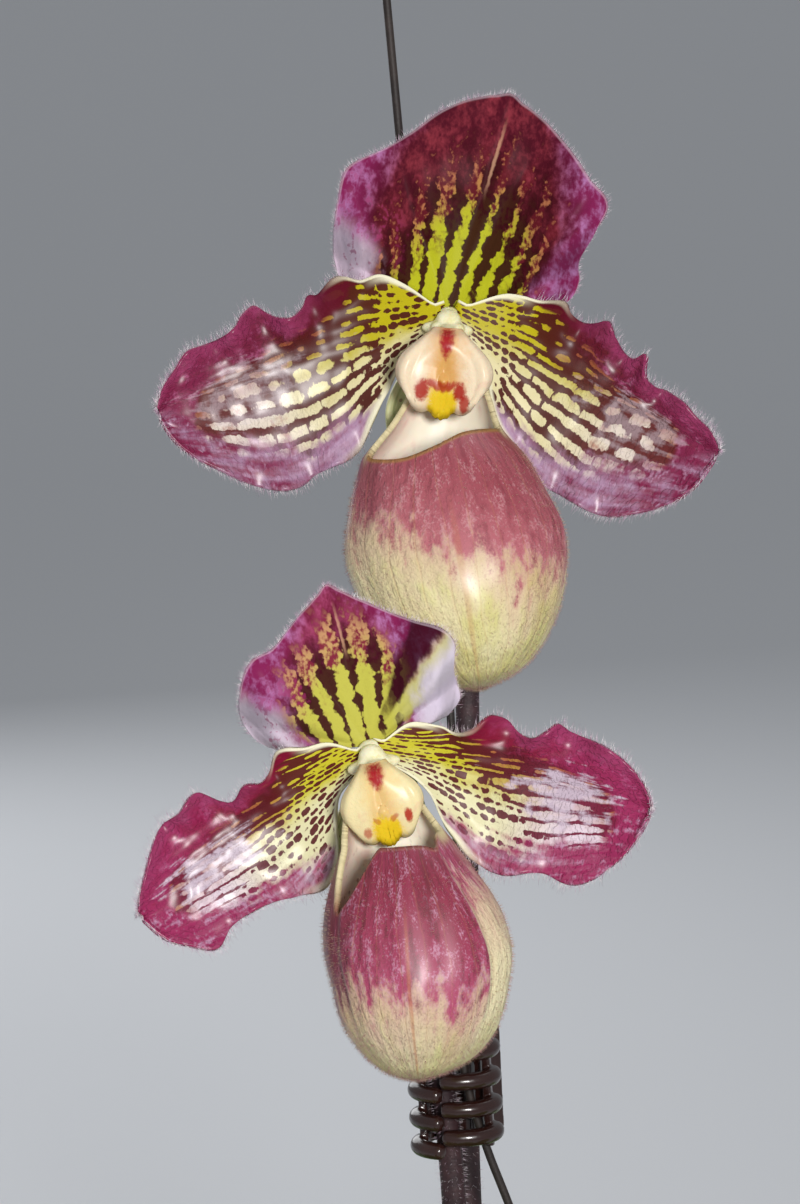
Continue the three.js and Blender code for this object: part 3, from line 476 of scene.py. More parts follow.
class Paint:
    """A material under construction: its textures, and its face, the colour so far."""

    def __init__(self, name, face=None):
        self.material = bpy.data.materials.new(name)
        self.material.use_nodes = True
        self.tree = self.material.node_tree
        self.shader = self.tree.nodes["Principled BSDF"]
        self.face = face

    def node(self, kind, **settings):
        made = self.tree.nodes.new("ShaderNode" + kind)
        for key, value in settings.items():
            setattr(made, key, value)
        return made

    def feed(self, place, value):
        if isinstance(value, Field):
            self.tree.links.new(value.socket, place)
        elif isinstance(value, bpy.types.NodeSocket):
            self.tree.links.new(value, place)
        else:
            place.default_value = colour(value) if isinstance(value, str) else value

    def split(self, socket):
        parts = self.node("SeparateXYZ")
        self.tree.links.new(socket, parts.inputs[0])
        return [Field(self, part) for part in parts.outputs]

    def chart(self, name="UVMap"):
        """One of the piece's own UV maps as two fields."""
        return self.split(self.node("UVMap", uv_map=name).outputs["UV"])[:2]

    def place(self):
        """Object coordinates in millimetres as three fields."""
        return [part * 1000 for part in self.split(self.node("TexCoord").outputs["Object"])]

    def texture(self, node, x, y, z, output, **settings):
        """A texture of one feature to a unit, at a place of fields or numbers."""
        at = self.node("CombineXYZ")
        for place, value in zip(at.inputs, (x, y, z)):
            self.feed(place, value)
        self.tree.links.new(at.outputs[0], node.inputs["Vector"])
        for key, value in {"Scale": 1, **settings}.items():
            node.inputs[key].default_value = value
        return Field(self, node.outputs[output])

    def grain(self, x, y, z=0.0, detail=2.0, roughness=0.5):
        """Smooth noise, mostly between 0.2 and 0.8."""
        return self.texture(self.node("TexNoise"), x, y, z, "Fac", Detail=detail, Roughness=roughness)

    def wave(self, x, y, z=0.0, detail=2.0, roughness=0.5):
        """Smooth noise round 0."""
        return self.grain(x, y, z, detail, roughness) - 0.5

    def cells(self, x, y, z=0.0):
        """Distance to the nearest of scattered points."""
        return self.texture(self.node("TexVoronoi"), x, y, z, "Distance")

    def blend(self, share, under, over):
        """under where share is 0, over where it is 1. Both are colour codes or colour sockets."""
        node = self.node("Mix", data_type="RGBA", clamp_factor=True)
        for place, value in ((node.inputs[0], share), (node.inputs[6], under), (node.inputs[7], over)):
            self.feed(place, value)
        return node.outputs[2]

    def over(self, share, colour_above):
        """Lays a colour over the face, by a share from 0 to 1."""
        self.face = self.blend(share, self.face, colour_above)

    def finish(self, roughness, height=None, depth=0.1, **constants):
        """Sets the shader: the face, its roughness, relief of depth millimetres, and the rest."""
        self.feed(self.shader.inputs["Base Color"], self.face)
        self.feed(self.shader.inputs["Roughness"], roughness)
        for key, value in constants.items():
            self.shader.inputs[key.replace("_", " ").title().replace("Ior", "IOR")].default_value = value
        if height is not None:
            relief = self.node("Bump")
            relief.inputs["Strength"].default_value = 1
            relief.inputs["Distance"].default_value = depth * MM
            self.feed(relief.inputs["Height"], height)
            self.tree.links.new(relief.outputs["Normal"], self.shader.inputs["Normal"])
        return self.material


# ---------------------------------------------------------------- paints of the bloom
def petal_paint(name, seed, look):
    """A petal's face: spots at its base, windows in a dark net, crimson outside, a paler lower hem."""
    paint = Paint(name)
    share, up = paint.chart()
    along, fan = paint.chart("Veins")
    wander = paint.wave(along * 0.11, fan * 1.1, seed)
    blotch = paint.wave(along * 0.34, fan * 3.2, seed + 3, 5, 0.6)
    fine = paint.wave(along * 1.5, fan * 13, seed + 5, 3)
    streak = paint.wave(along * 0.14, fan * 10, seed + 7, 3)
    creases = paint.wave(along * 0.7, fan * 7, seed + 8, 4).abs()

    outwards = share.rise(0.1, 0.42) * look["flush"] + share.rise(0.42, 0.78) * 0.3
    outwards = outwards + share.rise(0.8, 1.0) * 1.3
    front = fan + wander * 0.5 + blotch * 0.3 + streak * 0.5 + outwards - 1.3
    hem = (share.rise(0.1, 0.45) * 0.6 + share.rise(0.45, 0.8) * 0.28) * look["lilac"] - 1.12
    hem = hem + share.rise(0.82, 1.0) * 0.6 - fan + wander * 0.4 + blotch * 0.5 + streak * 0.3
    dense = front.rise(look["reach"], -0.05)
    outer = share.rise(0.35, 0.65)
    base = (share + fan * look["slant"] + blotch * 0.12).rise(*look["spotted"])

    lines = fan * (look["spot_rows"] / 2) + wander * 0.5 + 20.5
    line = lines.floor()
    run = along / look["spot_run"] + line * 0.43 + blotch * 0.5
    size = paint.grain(line * 5.3, run.floor() * 3.7, seed + 9, 0)
    off = ((lines.fract() - 0.5) * 2).power(2) + ((run.fract() - 0.5) * 1.5).power(2)
    spots = (size - 0.38) * 2.6 - off + fine * 1.3 + blotch * 0.9 + (base.least(0.5) - 0.5) * 3
    spots = spots.rise(-0.1, 0.12)

    rows = fan * (look["rows"] / 2) + wander * 1.1 + blotch * 0.5 + 20
    row = rows.floor()
    shift = paint.grain(along * 0.16, row * 3.7, seed + 11, 1) * 1.2
    run = along / look["window"] + row * 0.618 + shift + blotch * 0.5
    chance = paint.wave(row * 5.3, run.floor() * 3.7, seed + 13, 0)
    barred = (chance * 1.5 + dense * 0.7 + look["bars"]).rise(-0.2, 0.3)
    across = ((rows.fract() - 0.5) * 2).abs()
    lengthwise = ((run.fract() - 0.5) * 2).abs() * barred
    edge = (across.power(look["corner"]) + lengthwise.power(look["corner"])).power(1 / look["corner"])
    opening = dense * -look["shut"] + outer * look["thin"] + look["open"] + chance * 0.7
    opening = opening + (fine + streak) * 0.6
    net = (edge - opening - (base.most(0.5) - 0.5) * 2.6).rise(-0.06, 0.08)

    paint.face = paint.blend(share.rise(0.42, 0.75), look["cream"], look["pale"])
    paint.over((fan + wander * 0.6 + blotch * 0.4).rise(-0.45, 0.15) * share.rise(0.66, 0.46), look["yellow"])
    paint.over((dense * 1.3 - 0.2 + blotch) * share.rise(0.2, 0.42) * 0.9, look["rust"])
    paint.over((blotch * 1.2 - streak * 0.5 + fine * 0.4).rise(0.0, 0.3) * outer * look["dull"], "#9a5448")
    paint.over(spots.most(net) * 0.97, paint.blend(share.rise(0.35, 0.8), look["spot"], look["ink"]))

    crimson = paint.blend((share + blotch * 0.6 + fan * 0.15).rise(0.45, 0.95), look["wine"], look["magenta"])
    crimson = paint.blend((streak + fine * 0.6).rise(0.04, 0.3) * 0.6, crimson, look["wine"])
    pink = (blotch + fine * 0.5).rise(0.0, 0.26) * share.rise(0.3, 0.6) * 0.55
    crimson = paint.blend(pink, crimson, "#bb6490")
    paint.over(front.rise(-0.08, 0.12) * 0.97, crimson)
    # Painted highlight: a broad whitish-lilac sheen over the outer half of the petal, broken up by blotches
    # and streaks.
    painted_highlight = share.bump(0.7, 0.34) + fan.bump(-0.05, 0.85) + blotch * 2.4 + streak * 2.6 - 1.5
    paint.over(painted_highlight.rise(-0.1, 0.5) * look["painted_highlight"], look["painted_highlight_colour"])
    paint.over((up + blotch * 0.22 + wander * 0.1).rise(0.86, 0.97) * share.rise(0.3, 0.5) * 0.75, "#94365f")
    rosy = (share * 0.9 + blotch * 1.5 + streak * 1.1 + look["rosy"]).rise(0.3, 1.15)
    rosy = paint.blend(rosy, look["hem"], look["magenta"])
    rosy = paint.blend((blotch - streak * 0.5 + fine * 0.6).rise(0.0, 0.25) * 0.55, rosy, "#cbaac8")
    paint.over(hem.rise(-0.1, 0.14) * (0.96 - spots * share.rise(0.5, 0.3) * 0.7), rosy)
    ridge = (up + fine * 0.01).rise(0.87, 0.95) * share.rise(0.22, 0.1)
    ridge = ridge + up.rise(0.96, 0.985) * share.rise(0.36, 0.2)
    paint.over(ridge + up.rise(0.07, 0.02) * share.rise(0.5, 0.3), "#e9e5c8")
    relief = (streak + blotch + creases.rise(0.0, 0.1) * share.rise(0.3, 0.55)) * 0.5 + fine * 0.35
    paint.feed(paint.shader.inputs["Coat Weight"], share.rise(0.2, 0.55) * 0.42 + 0.04)
    return paint.finish(0.85, relief, 0.3, specular_ior_level=0.08, coat_roughness=0.27)


def petal_back_paint(name):
    """A petal's back: duller, with green veins at its base and a rosy outer half."""
    paint = Paint(name)
    share, up = paint.chart()
    blotch = paint.wave(share * 9, up * 6, 2, 4)
    vein = (up * 9 + blotch * 0.5).ridge(0.16, 0.02)
    paint.face = paint.blend((share + blotch * 0.5).rise(0.3, 0.75), "#c9bd8d", "#9c4871")
    paint.over(vein * 0.55, "#7d3352")
    paint.over((up - 0.5).abs().rise(0.42, 0.49) * 0.6, "#d8b6c8")
    return paint.finish(0.55, vein * 0.6 + blotch, 0.2, subsurface_weight=0.08, subsurface_scale=0.001)


def dorsal_paint(name, seed, look):
    """The dorsal sepal's face: beaded dark rays on yellow-green, tan flecks, then burgundy and lilac."""
    paint = Paint(name)
    out, turn = paint.chart()
    x, z = paint.chart("Face")
    wander = paint.wave(x * 0.07, z * 0.06, seed)
    blotch = paint.wave(x * 0.34, z * 0.2, seed + 2, 5, 0.62)
    fine = paint.wave(x * 1.3, z * 0.9, seed + 4, 3)
    aslant = x - z * look["keel"]
    lanes = aslant / (z.most(-1.5) * look["splay"] + look["spacing"]) + wander * 0.5 + 30.5
    lane = lanes.floor()
    aside = (lanes.fract() - 0.5).abs()
    bead = paint.wave(z * 0.42, lane * 3.3, seed + 6)
    far = ((aslant / look["wide"]).power(2) + (z / look["tall"]).power(2)).power(0.5) + blotch * 0.34
    first = paint.grain(lane * 7.7, seed, 0.5, 0)
    start = (far - first * 0.16 + x.abs().rise(2.4, 1.6) * 0.6).rise(0.0, 0.08)
    width = far.rise(0.05, 0.55) * 0.14 + look["ray"] + bead * 0.8
    width = width + (first - 0.5) * look["uneven"] + fine * 0.4
    rays = (width - aside).rise(-0.04, 0.05) * start * far.rise(1.25, 0.95)
    mottle = (blotch + fine * 1.1 + far.rise(0.5, 1.0) * look["fleck"] - 0.05).rise(-0.12, 0.16)

    burgundy = paint.blend((blotch * 1.4 + fine * 0.6).rise(-0.15, 0.35), look["dark"], look["red"])
    paint.face = paint.blend(far.rise(0.5, 0.78), look["yellow"], look["tan"])
    paint.over(far.rise(0.4, 0.62) * mottle, look["speck"])
    paint.over((far + fine * 0.5).rise(0.8, 1.05), burgundy)
    paint.over(rays * 0.97, paint.blend((far + blotch * 0.4).rise(0.62, 1.0) * 0.8, look["spot"], burgundy))
    paint.over((out + blotch * 0.24 + wander * 0.1).rise(0.76, 0.92) * 0.85, burgundy)
    magenta = paint.blend((blotch * 1.3 + fine * 0.5).rise(-0.12, 0.3), "#7e2150", "#b278ab")
    sideways = (turn - look["crown"]).abs() * 1.5 + out * 0.9 + (wander + blotch) * 0.2
    paint.over((sideways + look["mauve"]).rise(1.02, 1.24), magenta)
    # Patches of the sepal's own tints; on the lower bloom the dark one on the right fold is partly painted
    # shade.
    for centre, half, start, tint in look["patches"]:
        patch = (turn + blotch * 0.06).bump(centre, half).rise(0.0, 0.5)
        paint.over(patch * (out + blotch * 0.4).rise(start, start + 0.22) * 0.93, tint)
    specks = (blotch * 1.3 + fine).rise(0.1, 0.22) * turn.rise(0.34, 0.24) * out.rise(0.35, 0.6)
    paint.over(specks * 0.6, "#93315f")
    keel = (aslant + fine * 0.6).abs().rise(0.5, 0.1) * out.rise(0.5, 0.65) * out.rise(0.92, 0.75)
    paint.over(keel * 0.6, "#d0a080")
    paint.over(out.rise(0.988, 0.998) * 0.35, "#d9c3cf")
    relief = aside.rise(0.2, 0) * -0.3 + blotch * 0.7 + fine * 0.5
    return paint.finish(0.9, relief, 0.24, specular_ior_level=0.05, coat_weight=0.03, coat_roughness=0.3)


def dorsal_back_paint(name):
    """The dorsal sepal's back: dusky purple with a green keel and pale margins."""
    paint = Paint(name)
    out, turn = paint.chart()
    blotch = paint.wave(out * 8, turn * 9, 4, 4)
    vein = (turn * 13 + blotch * 0.3).ridge(0.18, 0.03)
    paint.face = paint.blend((out + blotch * 0.4).rise(0.1, 0.6), "#8f9a4c", "#7b3a5c")
    paint.over(vein * 0.5, "#4f1f3a")
    paint.over(out.rise(0.85, 1) * 0.5, "#c59ab8")
    return paint.finish(0.6, vein * 0.5 + blotch, 0.2)


def pouch_paint(name, seed, look):
    """The pouch outside: wine from the rim, running down in streaks into cream and yellow-green."""
    paint = Paint(name)
    turn, height = paint.chart("Face")
    degrees = turn * 360 - 180
    right, front = (turn * 6.2832).sin() * -1, (turn * 6.2832).cos() * -1

    def round_it(scale, upwards, *more):
        return paint.wave(right * scale, front * scale, upwards, *more)
    streak = round_it(9.5, height * 0.05 + seed, 3)
    broad = round_it(2.4, height * 0.07 + seed * 2)
    mottle = round_it(9.7, height * 0.3 + seed * 3, 4, 0.55)
    fine = round_it(50, height * 2.4 + seed, 3)
    pimples = round_it(17, height * 0.9, 1)
    line = look["line"] + streak * 9 + broad * 10 + mottle * 22
    for middle, half, lift in look["lifts"]:
        line = line + degrees.bump(middle, half) * lift
    above = height - (line + (degrees + streak * 3).rise(48, 51) * look["lobe"])
    red = paint.blend(above.rise(-3, 20) * 0.85 + streak * 0.7 + mottle * 0.8, look["rose"], look["wine"])
    # Pale lilac mottles over the red: partly the pouch's own mottling, partly painted sheen, lightest on the
    # lower bloom.
    pale = (mottle + fine * 0.9 + above.rise(12, -6) * 0.1).rise(0.0, 0.3) * 0.6
    red = paint.blend(pale, red, look["mottle"])
    red = paint.blend((streak * 1.3 - mottle * 0.8 + fine * 0.5).rise(0.04, 0.3) * 0.6, red, look["dark"])
    # Painted shade: the red darkens towards the pouch's left side, away from the key light, more on the lower
    # bloom.
    red = paint.blend((degrees + streak * 20).rise(-25, -70) * look["shade"], red, look["dark"])
    paint.face = paint.blend((broad + mottle * 0.6 - (height + 26) * 0.02).rise(-0.1, 0.4), look["cream"],
                             look["lime"])
    paint.over((streak + mottle * 0.5).rise(0.06, 0.34) * 0.35, "#c2b878")
    paint.over((above + fine * 5).rise(-14, -3) * (mottle + 0.55) * 0.6, look["rose"])
    paint.over((above + fine * 8).rise(-5, 4) * 0.97, red)
    paint.over(degrees.abs().rise(118, 140) * 0.8, "#c6c58c")
    cord = (degrees + streak * 7 + 1).abs().rise(2.2, 0.4) * height.rise(-7, -18)
    paint.over(cord * look["vein"], "#b06a3c")
    minor = (degrees / 15 + broad * 0.7).ridge(0.06, 0.0) * (mottle + 0.5)
    paint.over(minor * 0.32, "#b87f4a")
    level = paint.chart()[1]
    paint.over(level.rise(0.985, 0.995) * look["lip"], "#a97a3e")
    paint.over(level.rise(0.96, 0.99) * degrees.abs().rise(58, 84), "#ddcfa2")
    relief = mottle * 1.3 + fine * 0.4 + streak * 0.5 + pimples * 0.6 - minor * 0.25
    return paint.finish(0.85, relief, 0.5, specular_ior_level=0.1, coat_weight=1.0, coat_roughness=0.36)


def pouch_inside_paint(name):
    """The pouch inside: pinkish cream, rows of small spots on its floor, painted shade inside its front wall.
    """
    paint = Paint(name)
    turn, height = paint.chart("Face")
    side = (turn - 0.5).abs()
    blotch = paint.wave(side * 20, height * 0.2, 1, 3)
    dots = paint.cells(side * 60, height * 0.5).rise(0.26, 0.16) * height.rise(4, -8)
    paint.face = paint.blend((height + blotch * 14).rise(-22, -4), "#c99a84", "#f5ecd8")
    paint.over(blotch.rise(0.05, 0.3) * 0.5, "#e0aaa2")
    paint.over((turn + blotch * 0.06).bump(0.2, 0.16) * 0.5, "#dd9d96")
    # Painted shade: the inside of the front wall, under its overhang, darkened to brown.
    paint.over((side + blotch * 0.03).rise(0.22, 0.13) * 0.85, "#7e4a3c")
    paint.over(dots * 0.6, "#8e3a34")
    return paint.finish(0.45, blotch, 0.1, subsurface_weight=0.15, subsurface_scale=0.002)


def shield_paint(name, look):
    """The staminode: waxy cream, a fuzzy red spot above and a yellow tongue with red beside it."""
    paint = Paint(name)
    aside, down = paint.chart("Face")
    off = aside.abs()
    fine = paint.wave(down * 24, aside * 24, 3, 4, 0.65)
    soft = paint.wave(down * 6, aside * 6, 5)

    def spot(middle, wide, depth, tall):
        return ((aside - middle) / wide).power(2) + ((down - depth) / tall).power(2)
    paint.face = paint.blend((off + soft * 0.4).rise(0.06, 0.3), look["warm"], look["cream"])
    paint.over((soft + fine * 0.4).rise(0.02, 0.3) * 0.35, look["blush"])
    wedge = (down * 0.22 + 0.01 - off + soft * 0.16 + fine * 0.1).rise(-0.09, 0.06) * down.rise(0.78, 0.6)
    paint.over(wedge * look["wedge"], "#d09a4c")
    paint.over((spot(0, look["tongue"], 0.96, 0.3) + fine * 1.6 + soft).rise(1.5, 0.6), "#e0bd1e")
    for middle, depth, wide, tall, strength in look["red"]:
        paint.over((spot(middle, wide, depth, tall) + fine * 1.8).rise(1.5, 0.3) * strength, look["flame"])
    wide, depth, tall = look["eye"]
    eye = spot(0, (down * -1.3 + 1.2) * wide, depth, tall)
    paint.over((eye + fine * 2.2).rise(1.7, 0.1), "#a01c22")
    return paint.finish(0.7, fine + soft, 0.16, specular_ior_level=0.12, subsurface_weight=0.08,
                        subsurface_scale=0.001, coat_weight=0.22, coat_roughness=0.22)


def sepal_green_paint(name):
    """The synsepal: pale green with darker veins from its base and a few purple dots."""
    paint = Paint(name)
    down, across = paint.chart()
    blotch = paint.wave(down * 7, across * 7, 8, 3)
    vein = (across * 9 + blotch * 0.3).ridge(0.16, 0.02)
    paint.face = paint.blend((down + blotch).rise(0.2, 1), "#d5d6a4", "#b3bf78")
    paint.over(vein * 0.45, "#7c8c46")
    paint.over(paint.cells(down * 16, across * 12).rise(0.2, 0.12) * down.rise(0.7, 0.3) * 0.7, "#6a1f3a")
    return paint.finish(0.45, vein * -0.4 + blotch, 0.2, subsurface_weight=0.1, subsurface_scale=0.001)


# ---------------------------------------------------------------- paints of the rest
def waxy_paint(name, base, second, size, roughness=0.3, depth=0.15, **constants):
    """A waxy plant part of two mingled tones, in blotches of a size in millimetres."""
    paint = Paint(name)
    place = paint.place()
    blotch = paint.wave(*[part / size for part in place], 4)
    fine = paint.wave(*[part * 2.2 for part in place])
    paint.face = paint.blend((blotch + fine * 0.3).rise(-0.15, 0.25), base, second)
    return paint.finish(roughness, blotch + fine * 0.5, depth, **constants)


def hair_paint(name, base, second):
    paint = Paint(name)
    tone = paint.grain(*[part * 0.9 for part in paint.place()])
    paint.face = paint.blend(tone.rise(0.35, 0.65), base, second)
    return paint.finish(0.45)


def leaf_paint(name, seed):
    """A leaf's upper face: mid green checked with darker patches, a pale keel line, waxy."""
    paint = Paint(name)
    along, across = paint.chart()
    wander = paint.wave(along * 7, across * 5, seed)
    fine = paint.wave(along * 60, across * 30, seed + 1, 3)
    rows = (across + wander * 0.02) * 13
    between = (rows.fract() - 0.5).abs()
    off_keel = (across - 0.5).abs()
    checks = paint.grain(along * 26 + wander * 2, rows.floor() * 3.7, seed, 1)
    big = paint.grain(along * 11, across * 7, seed + 5, 4, 0.6)
    patch = (checks * 0.6 + big * 0.5 + fine * 0.2).rise(0.5, 0.62)
    paint.face = paint.blend(patch * 0.85, "#6f9a4a", "#2c5f25")
    paint.over(between.rise(0.42, 0.5) * 0.25, "#24501f")
    paint.over(off_keel.rise(0.02, 0.004) * 0.6, "#8fae5e")
    paint.over(off_keel.rise(0.488, 0.498) * 0.5, "#9fb070")
    paint.over(along.rise(0.2, 0.0) * 0.6, "#9aab63")
    return paint.finish(0.42, between * -0.8 + fine * 0.3 + wander, 0.25, specular_ior_level=0.35,
                        coat_weight=0.12, coat_roughness=0.3)


def leaf_back_paint():
    """A leaf's underside: paler green with purple freckles towards its foot."""
    paint = Paint("leaf back")
    along, across = paint.chart()
    fine = paint.wave(along * 40, across * 22, 2, 4)
    freckles = paint.cells(along * 90, across * 34).rise(0.42, 0.22) * along.rise(0.7, 0.1)
    paint.face = paint.blend(fine.rise(-0.1, 0.3), "#6c8f4c", "#87a562")
    paint.over(freckles * 0.8, "#5a2748")
    return paint.finish(0.5, fine, 0.15)


def plastic_paint(name, base, worn, roughness, grain, depth, **constants):
    """Moulded plastic: one tone with faint wear, and a fine skin texture."""
    paint = Paint(name)
    place = paint.place()
    fine = paint.wave(*[part * grain for part in place], 3)
    wear = paint.wave(*[part * 0.12 for part in place], 4)
    paint.face = paint.blend(wear.rise(0.0, 0.3), base, worn)
    return paint.finish(wear * 0.25 + roughness, fine, depth, **constants)


def steel_paint(name):
    paint = Paint(name, "#9a9a9a")
    x, y, z = paint.place()
    return paint.finish(paint.grain(x * 3, y * 3, z * 20) * 0.2 + 0.25, metallic=1.0)


def studio_paint(name, code):
    paint = Paint(name)
    tone = paint.grain(*[part / 300 for part in paint.place()])
    paint.face = paint.blend(tone, code, code)
    return paint.finish(0.9)


HAIR = hair_paint("pale hair", "#f4eef0", "#c9a6bf")
FUZZ = hair_paint("pouch fuzz", "#cbb592", "#b67d86")
COLUMN = waxy_paint("column cream", "#efebc8", "#dcd59c", 3, 0.35, subsurface_weight=0.1,
                    subsurface_scale=0.002, coat_weight=0.35, coat_roughness=0.2)
STEM = waxy_paint("scape purple", "#28141a", "#40262a", 4, 0.6, 0.2)
OVARY = waxy_paint("ovary brown", "#6d5a3a", "#5b3340", 3, 0.55, 0.2)
BRACT = waxy_paint("bract green", "#7d944a", "#6b6440", 5, 0.5, 0.2)
CROWN = waxy_paint("crown green", "#6d8f47", "#88703f", 4, 0.5, 0.2)
STAKE = waxy_paint("stake brown", "#221b19", "#352b27", 6, 0.6, 0.15)
CHIPS = waxy_paint("fir bark", "#4a2b1b", "#7c4e30", 3.5, 0.85, 0.6)
PERLITE = waxy_paint("perlite", "#dcdad2", "#bfbab0", 1.5, 0.9, 0.3)
POT = plastic_paint("pot plastic", "#17181a", "#2a2b2d", 0.5, 3, 0.05)
CLIP_PLASTIC = plastic_paint("clip plastic", "#2a1410", "#361d18", 0.24, 0.6, 0.06, coat_weight=0.4,
                             coat_roughness=0.1)
LEAF_BACK = leaf_back_paint()
LOOKS = {
    "lower": {
        "seed": 3,
        "dorsal": {
            "spacing": 2.7, "splay": 0.13, "wide": 20, "tall": 27.5, "crown": 0.46, "keel": -0.02,
            "fleck": 0.1, "mauve": 0.12, "uneven": 0.1, "ray": 0.08, "speck": "#7a2638", "yellow": "#b8b44c",
            "tan": "#bb8c64", "spot": "#3b0b18", "dark": "#6e1a38", "red": "#a04468",
            "patches": [
                # The second patch, near-black maroon on the right fold, is partly the sepal's dark colour and
                # partly painted shade.
                (0.04, 0.16, 0.5, "#c9bccb"), (0.735, 0.065, 0.14, "#380a19"), (0.83, 0.07, 0.2, "#b9b56a"),
                (0.92, 0.17, 0.42, "#c8bfd0"),
            ],
        },
        "petal": {
            "rows": 15, "window": 7.5, "bars": -0.28, "open": 0.66, "shut": 0.3, "thin": 0.12, "flush": 0.78,
            "spotted": (0.5, 0.26), "slant": 0.42, "reach": -1.05, "dull": 0.2, "rosy": 0.48, "lilac": 0.62,
            # These lines also hold the strength and the colour of the petal's painted highlight.
            "spot_rows": 18, "spot_run": 2.0, "corner": 2, "rust": "#9c5a34", "painted_highlight": 0.75,
            "painted_highlight_colour": "#cfc2d2", "cream": "#d6d2a8", "yellow": "#bdb52c", "pale": "#dccbd6", "wine": "#7a102f",
            "magenta": "#962a58", "spot": "#520b1a", "ink": "#701334", "hem": "#c4b0c4",
        },
        "pouch": {
            "line": -24, "lobe": 17, "lifts": [(-80, 40, -4), (30, 16, -5)], "wine": "#7d0c32",
            # The lower pouch's pale mottle colour is partly painted sheen.
            "rose": "#a53a62", "mottle": "#cd9cb6", "dark": "#5a0a22", "cream": "#ddd3ab", "lime": "#cdc58c",
            "vein": 0.5, "lip": 0.25, "shade": 0.75,
        },
        "shield": {
            "cream": "#e3d4a2", "warm": "#e2c78a", "blush": "#d9a58c", "wedge": 0.35, "tongue": 0.19,
            "flame": "#a8200e", "eye": (0.1, 0.17, 0.16),
            "red": [
                (0.3, 0.74, 0.05, 0.1, 0.95), (-0.25, 0.86, 0.05, 0.07, 0.7), (0.12, 0.72, 0.06, 0.04, 0.6),
                (-0.1, 0.72, 0.05, 0.04, 0.5),
            ],
        },
    },
    "upper": {
        "seed": 41,
        "dorsal": {
            "spacing": 3, "splay": 0.075, "wide": 20.5, "tall": 34, "crown": 0.53, "keel": 0.21,
            "fleck": 0.28, "mauve": 0, "uneven": 0.5, "ray": 0.14, "speck": "#5e1822", "yellow": "#b0b122",
            "tan": "#aa6a48", "spot": "#340810", "dark": "#4d1020", "red": "#86303c",
            "patches": [(0.05, 0.17, 0.5, "#d2c0d2")],
        },
        "petal": {
            "rows": 12, "window": 5.4, "bars": 0.1, "open": 0.61, "shut": 0.16, "thin": 0.03, "flush": 0.78,
            "spotted": (0.3, 0.14), "slant": 0.05, "reach": -0.8, "dull": 0.75, "rosy": 0.15, "lilac": 0.66,
            # These lines also hold the strength and the colour of the petal's painted highlight.
            "spot_rows": 13, "spot_run": 1.9, "corner": 3, "rust": "#8c4a2c", "painted_highlight": 0.3,
            "painted_highlight_colour": "#d8ccd4", "cream": "#d9d0a2", "yellow": "#b5a914", "pale": "#dccfc2", "wine": "#5c0d20",
            "magenta": "#7c2046", "spot": "#4a0d12", "ink": "#5e1a1c", "hem": "#b090ae",
        },
        "pouch": {
            "line": -19, "lobe": 0, "lifts": [(-80, 80, 8), (50, 60, -8)], "wine": "#8c2c40",
            "rose": "#b0606c", "mottle": "#c9949a", "dark": "#7a2438", "cream": "#ded6a8", "lime": "#cbc47e",
            "vein": 0.3, "lip": 0.8, "shade": 0.35,
        },
        "shield": {
            "cream": "#e6d3b4", "warm": "#e0b98c", "blush": "#dca898", "wedge": 0.85, "tongue": 0.17,
            "flame": "#a31606", "eye": (0.075, 0.17, 0.17),
            "red": [
                (-0.23, 0.76, 0.08, 0.13, 0.95), (0.19, 0.76, 0.07, 0.12, 0.95),
                (0.25, 0.88, 0.055, 0.1, 0.9), (-0.02, 0.67, 0.2, 0.06, 0.9),
            ],
        },
    },
}


# ---------------------------------------------------------------- forms of the bloom
def dorsal_form(sepal):
    """The wide upper sepal: a fan from the hub, hooded forwards, its side edges rolled back."""
    outline = sepal["outline"]

    def shape(u, v):
        degrees = lerp(outline[0][0], outline[-1][0], v)
        angle = math.radians(degrees)
        reach = through(outline, degrees) + 0.8 * bell(degrees, sepal["tip"], 4)
        r = lerp(1.2, reach, u)
        share = r / reach
        wide = abs(degrees)
        sideways = smooth(wide, 22, 50) * (1 - smooth(wide, 54, 68))
        hood = sepal["hood"] * (0.45 * (1 - smooth(wide, 10, 60)) + 0.9 * sideways)
        rolled = sepal["roll"] * smooth(share, 0.74, 1) * smooth(wide, 30, 62)
        x, z = r * math.sin(angle), r * math.cos(angle)
        crinkle = noise.noise(Vector((x, z, sepal["hood"])) * 0.13) * 0.6 * share
        furrow = -0.07 * math.cos(angle * 24) * smooth(share, 0.12, 0.5) * (1 - 0.5 * share)
        keel = 0.5 * bell(degrees, sepal["tip"], 6) * smooth(share, 0.3, 0.8)
        return Vector((x, 2.3 - hood * share ** 1.7 + rolled + crinkle + furrow + keel, z))
    return shape, {"Face": lambda u, v: shape(u, v).xz}


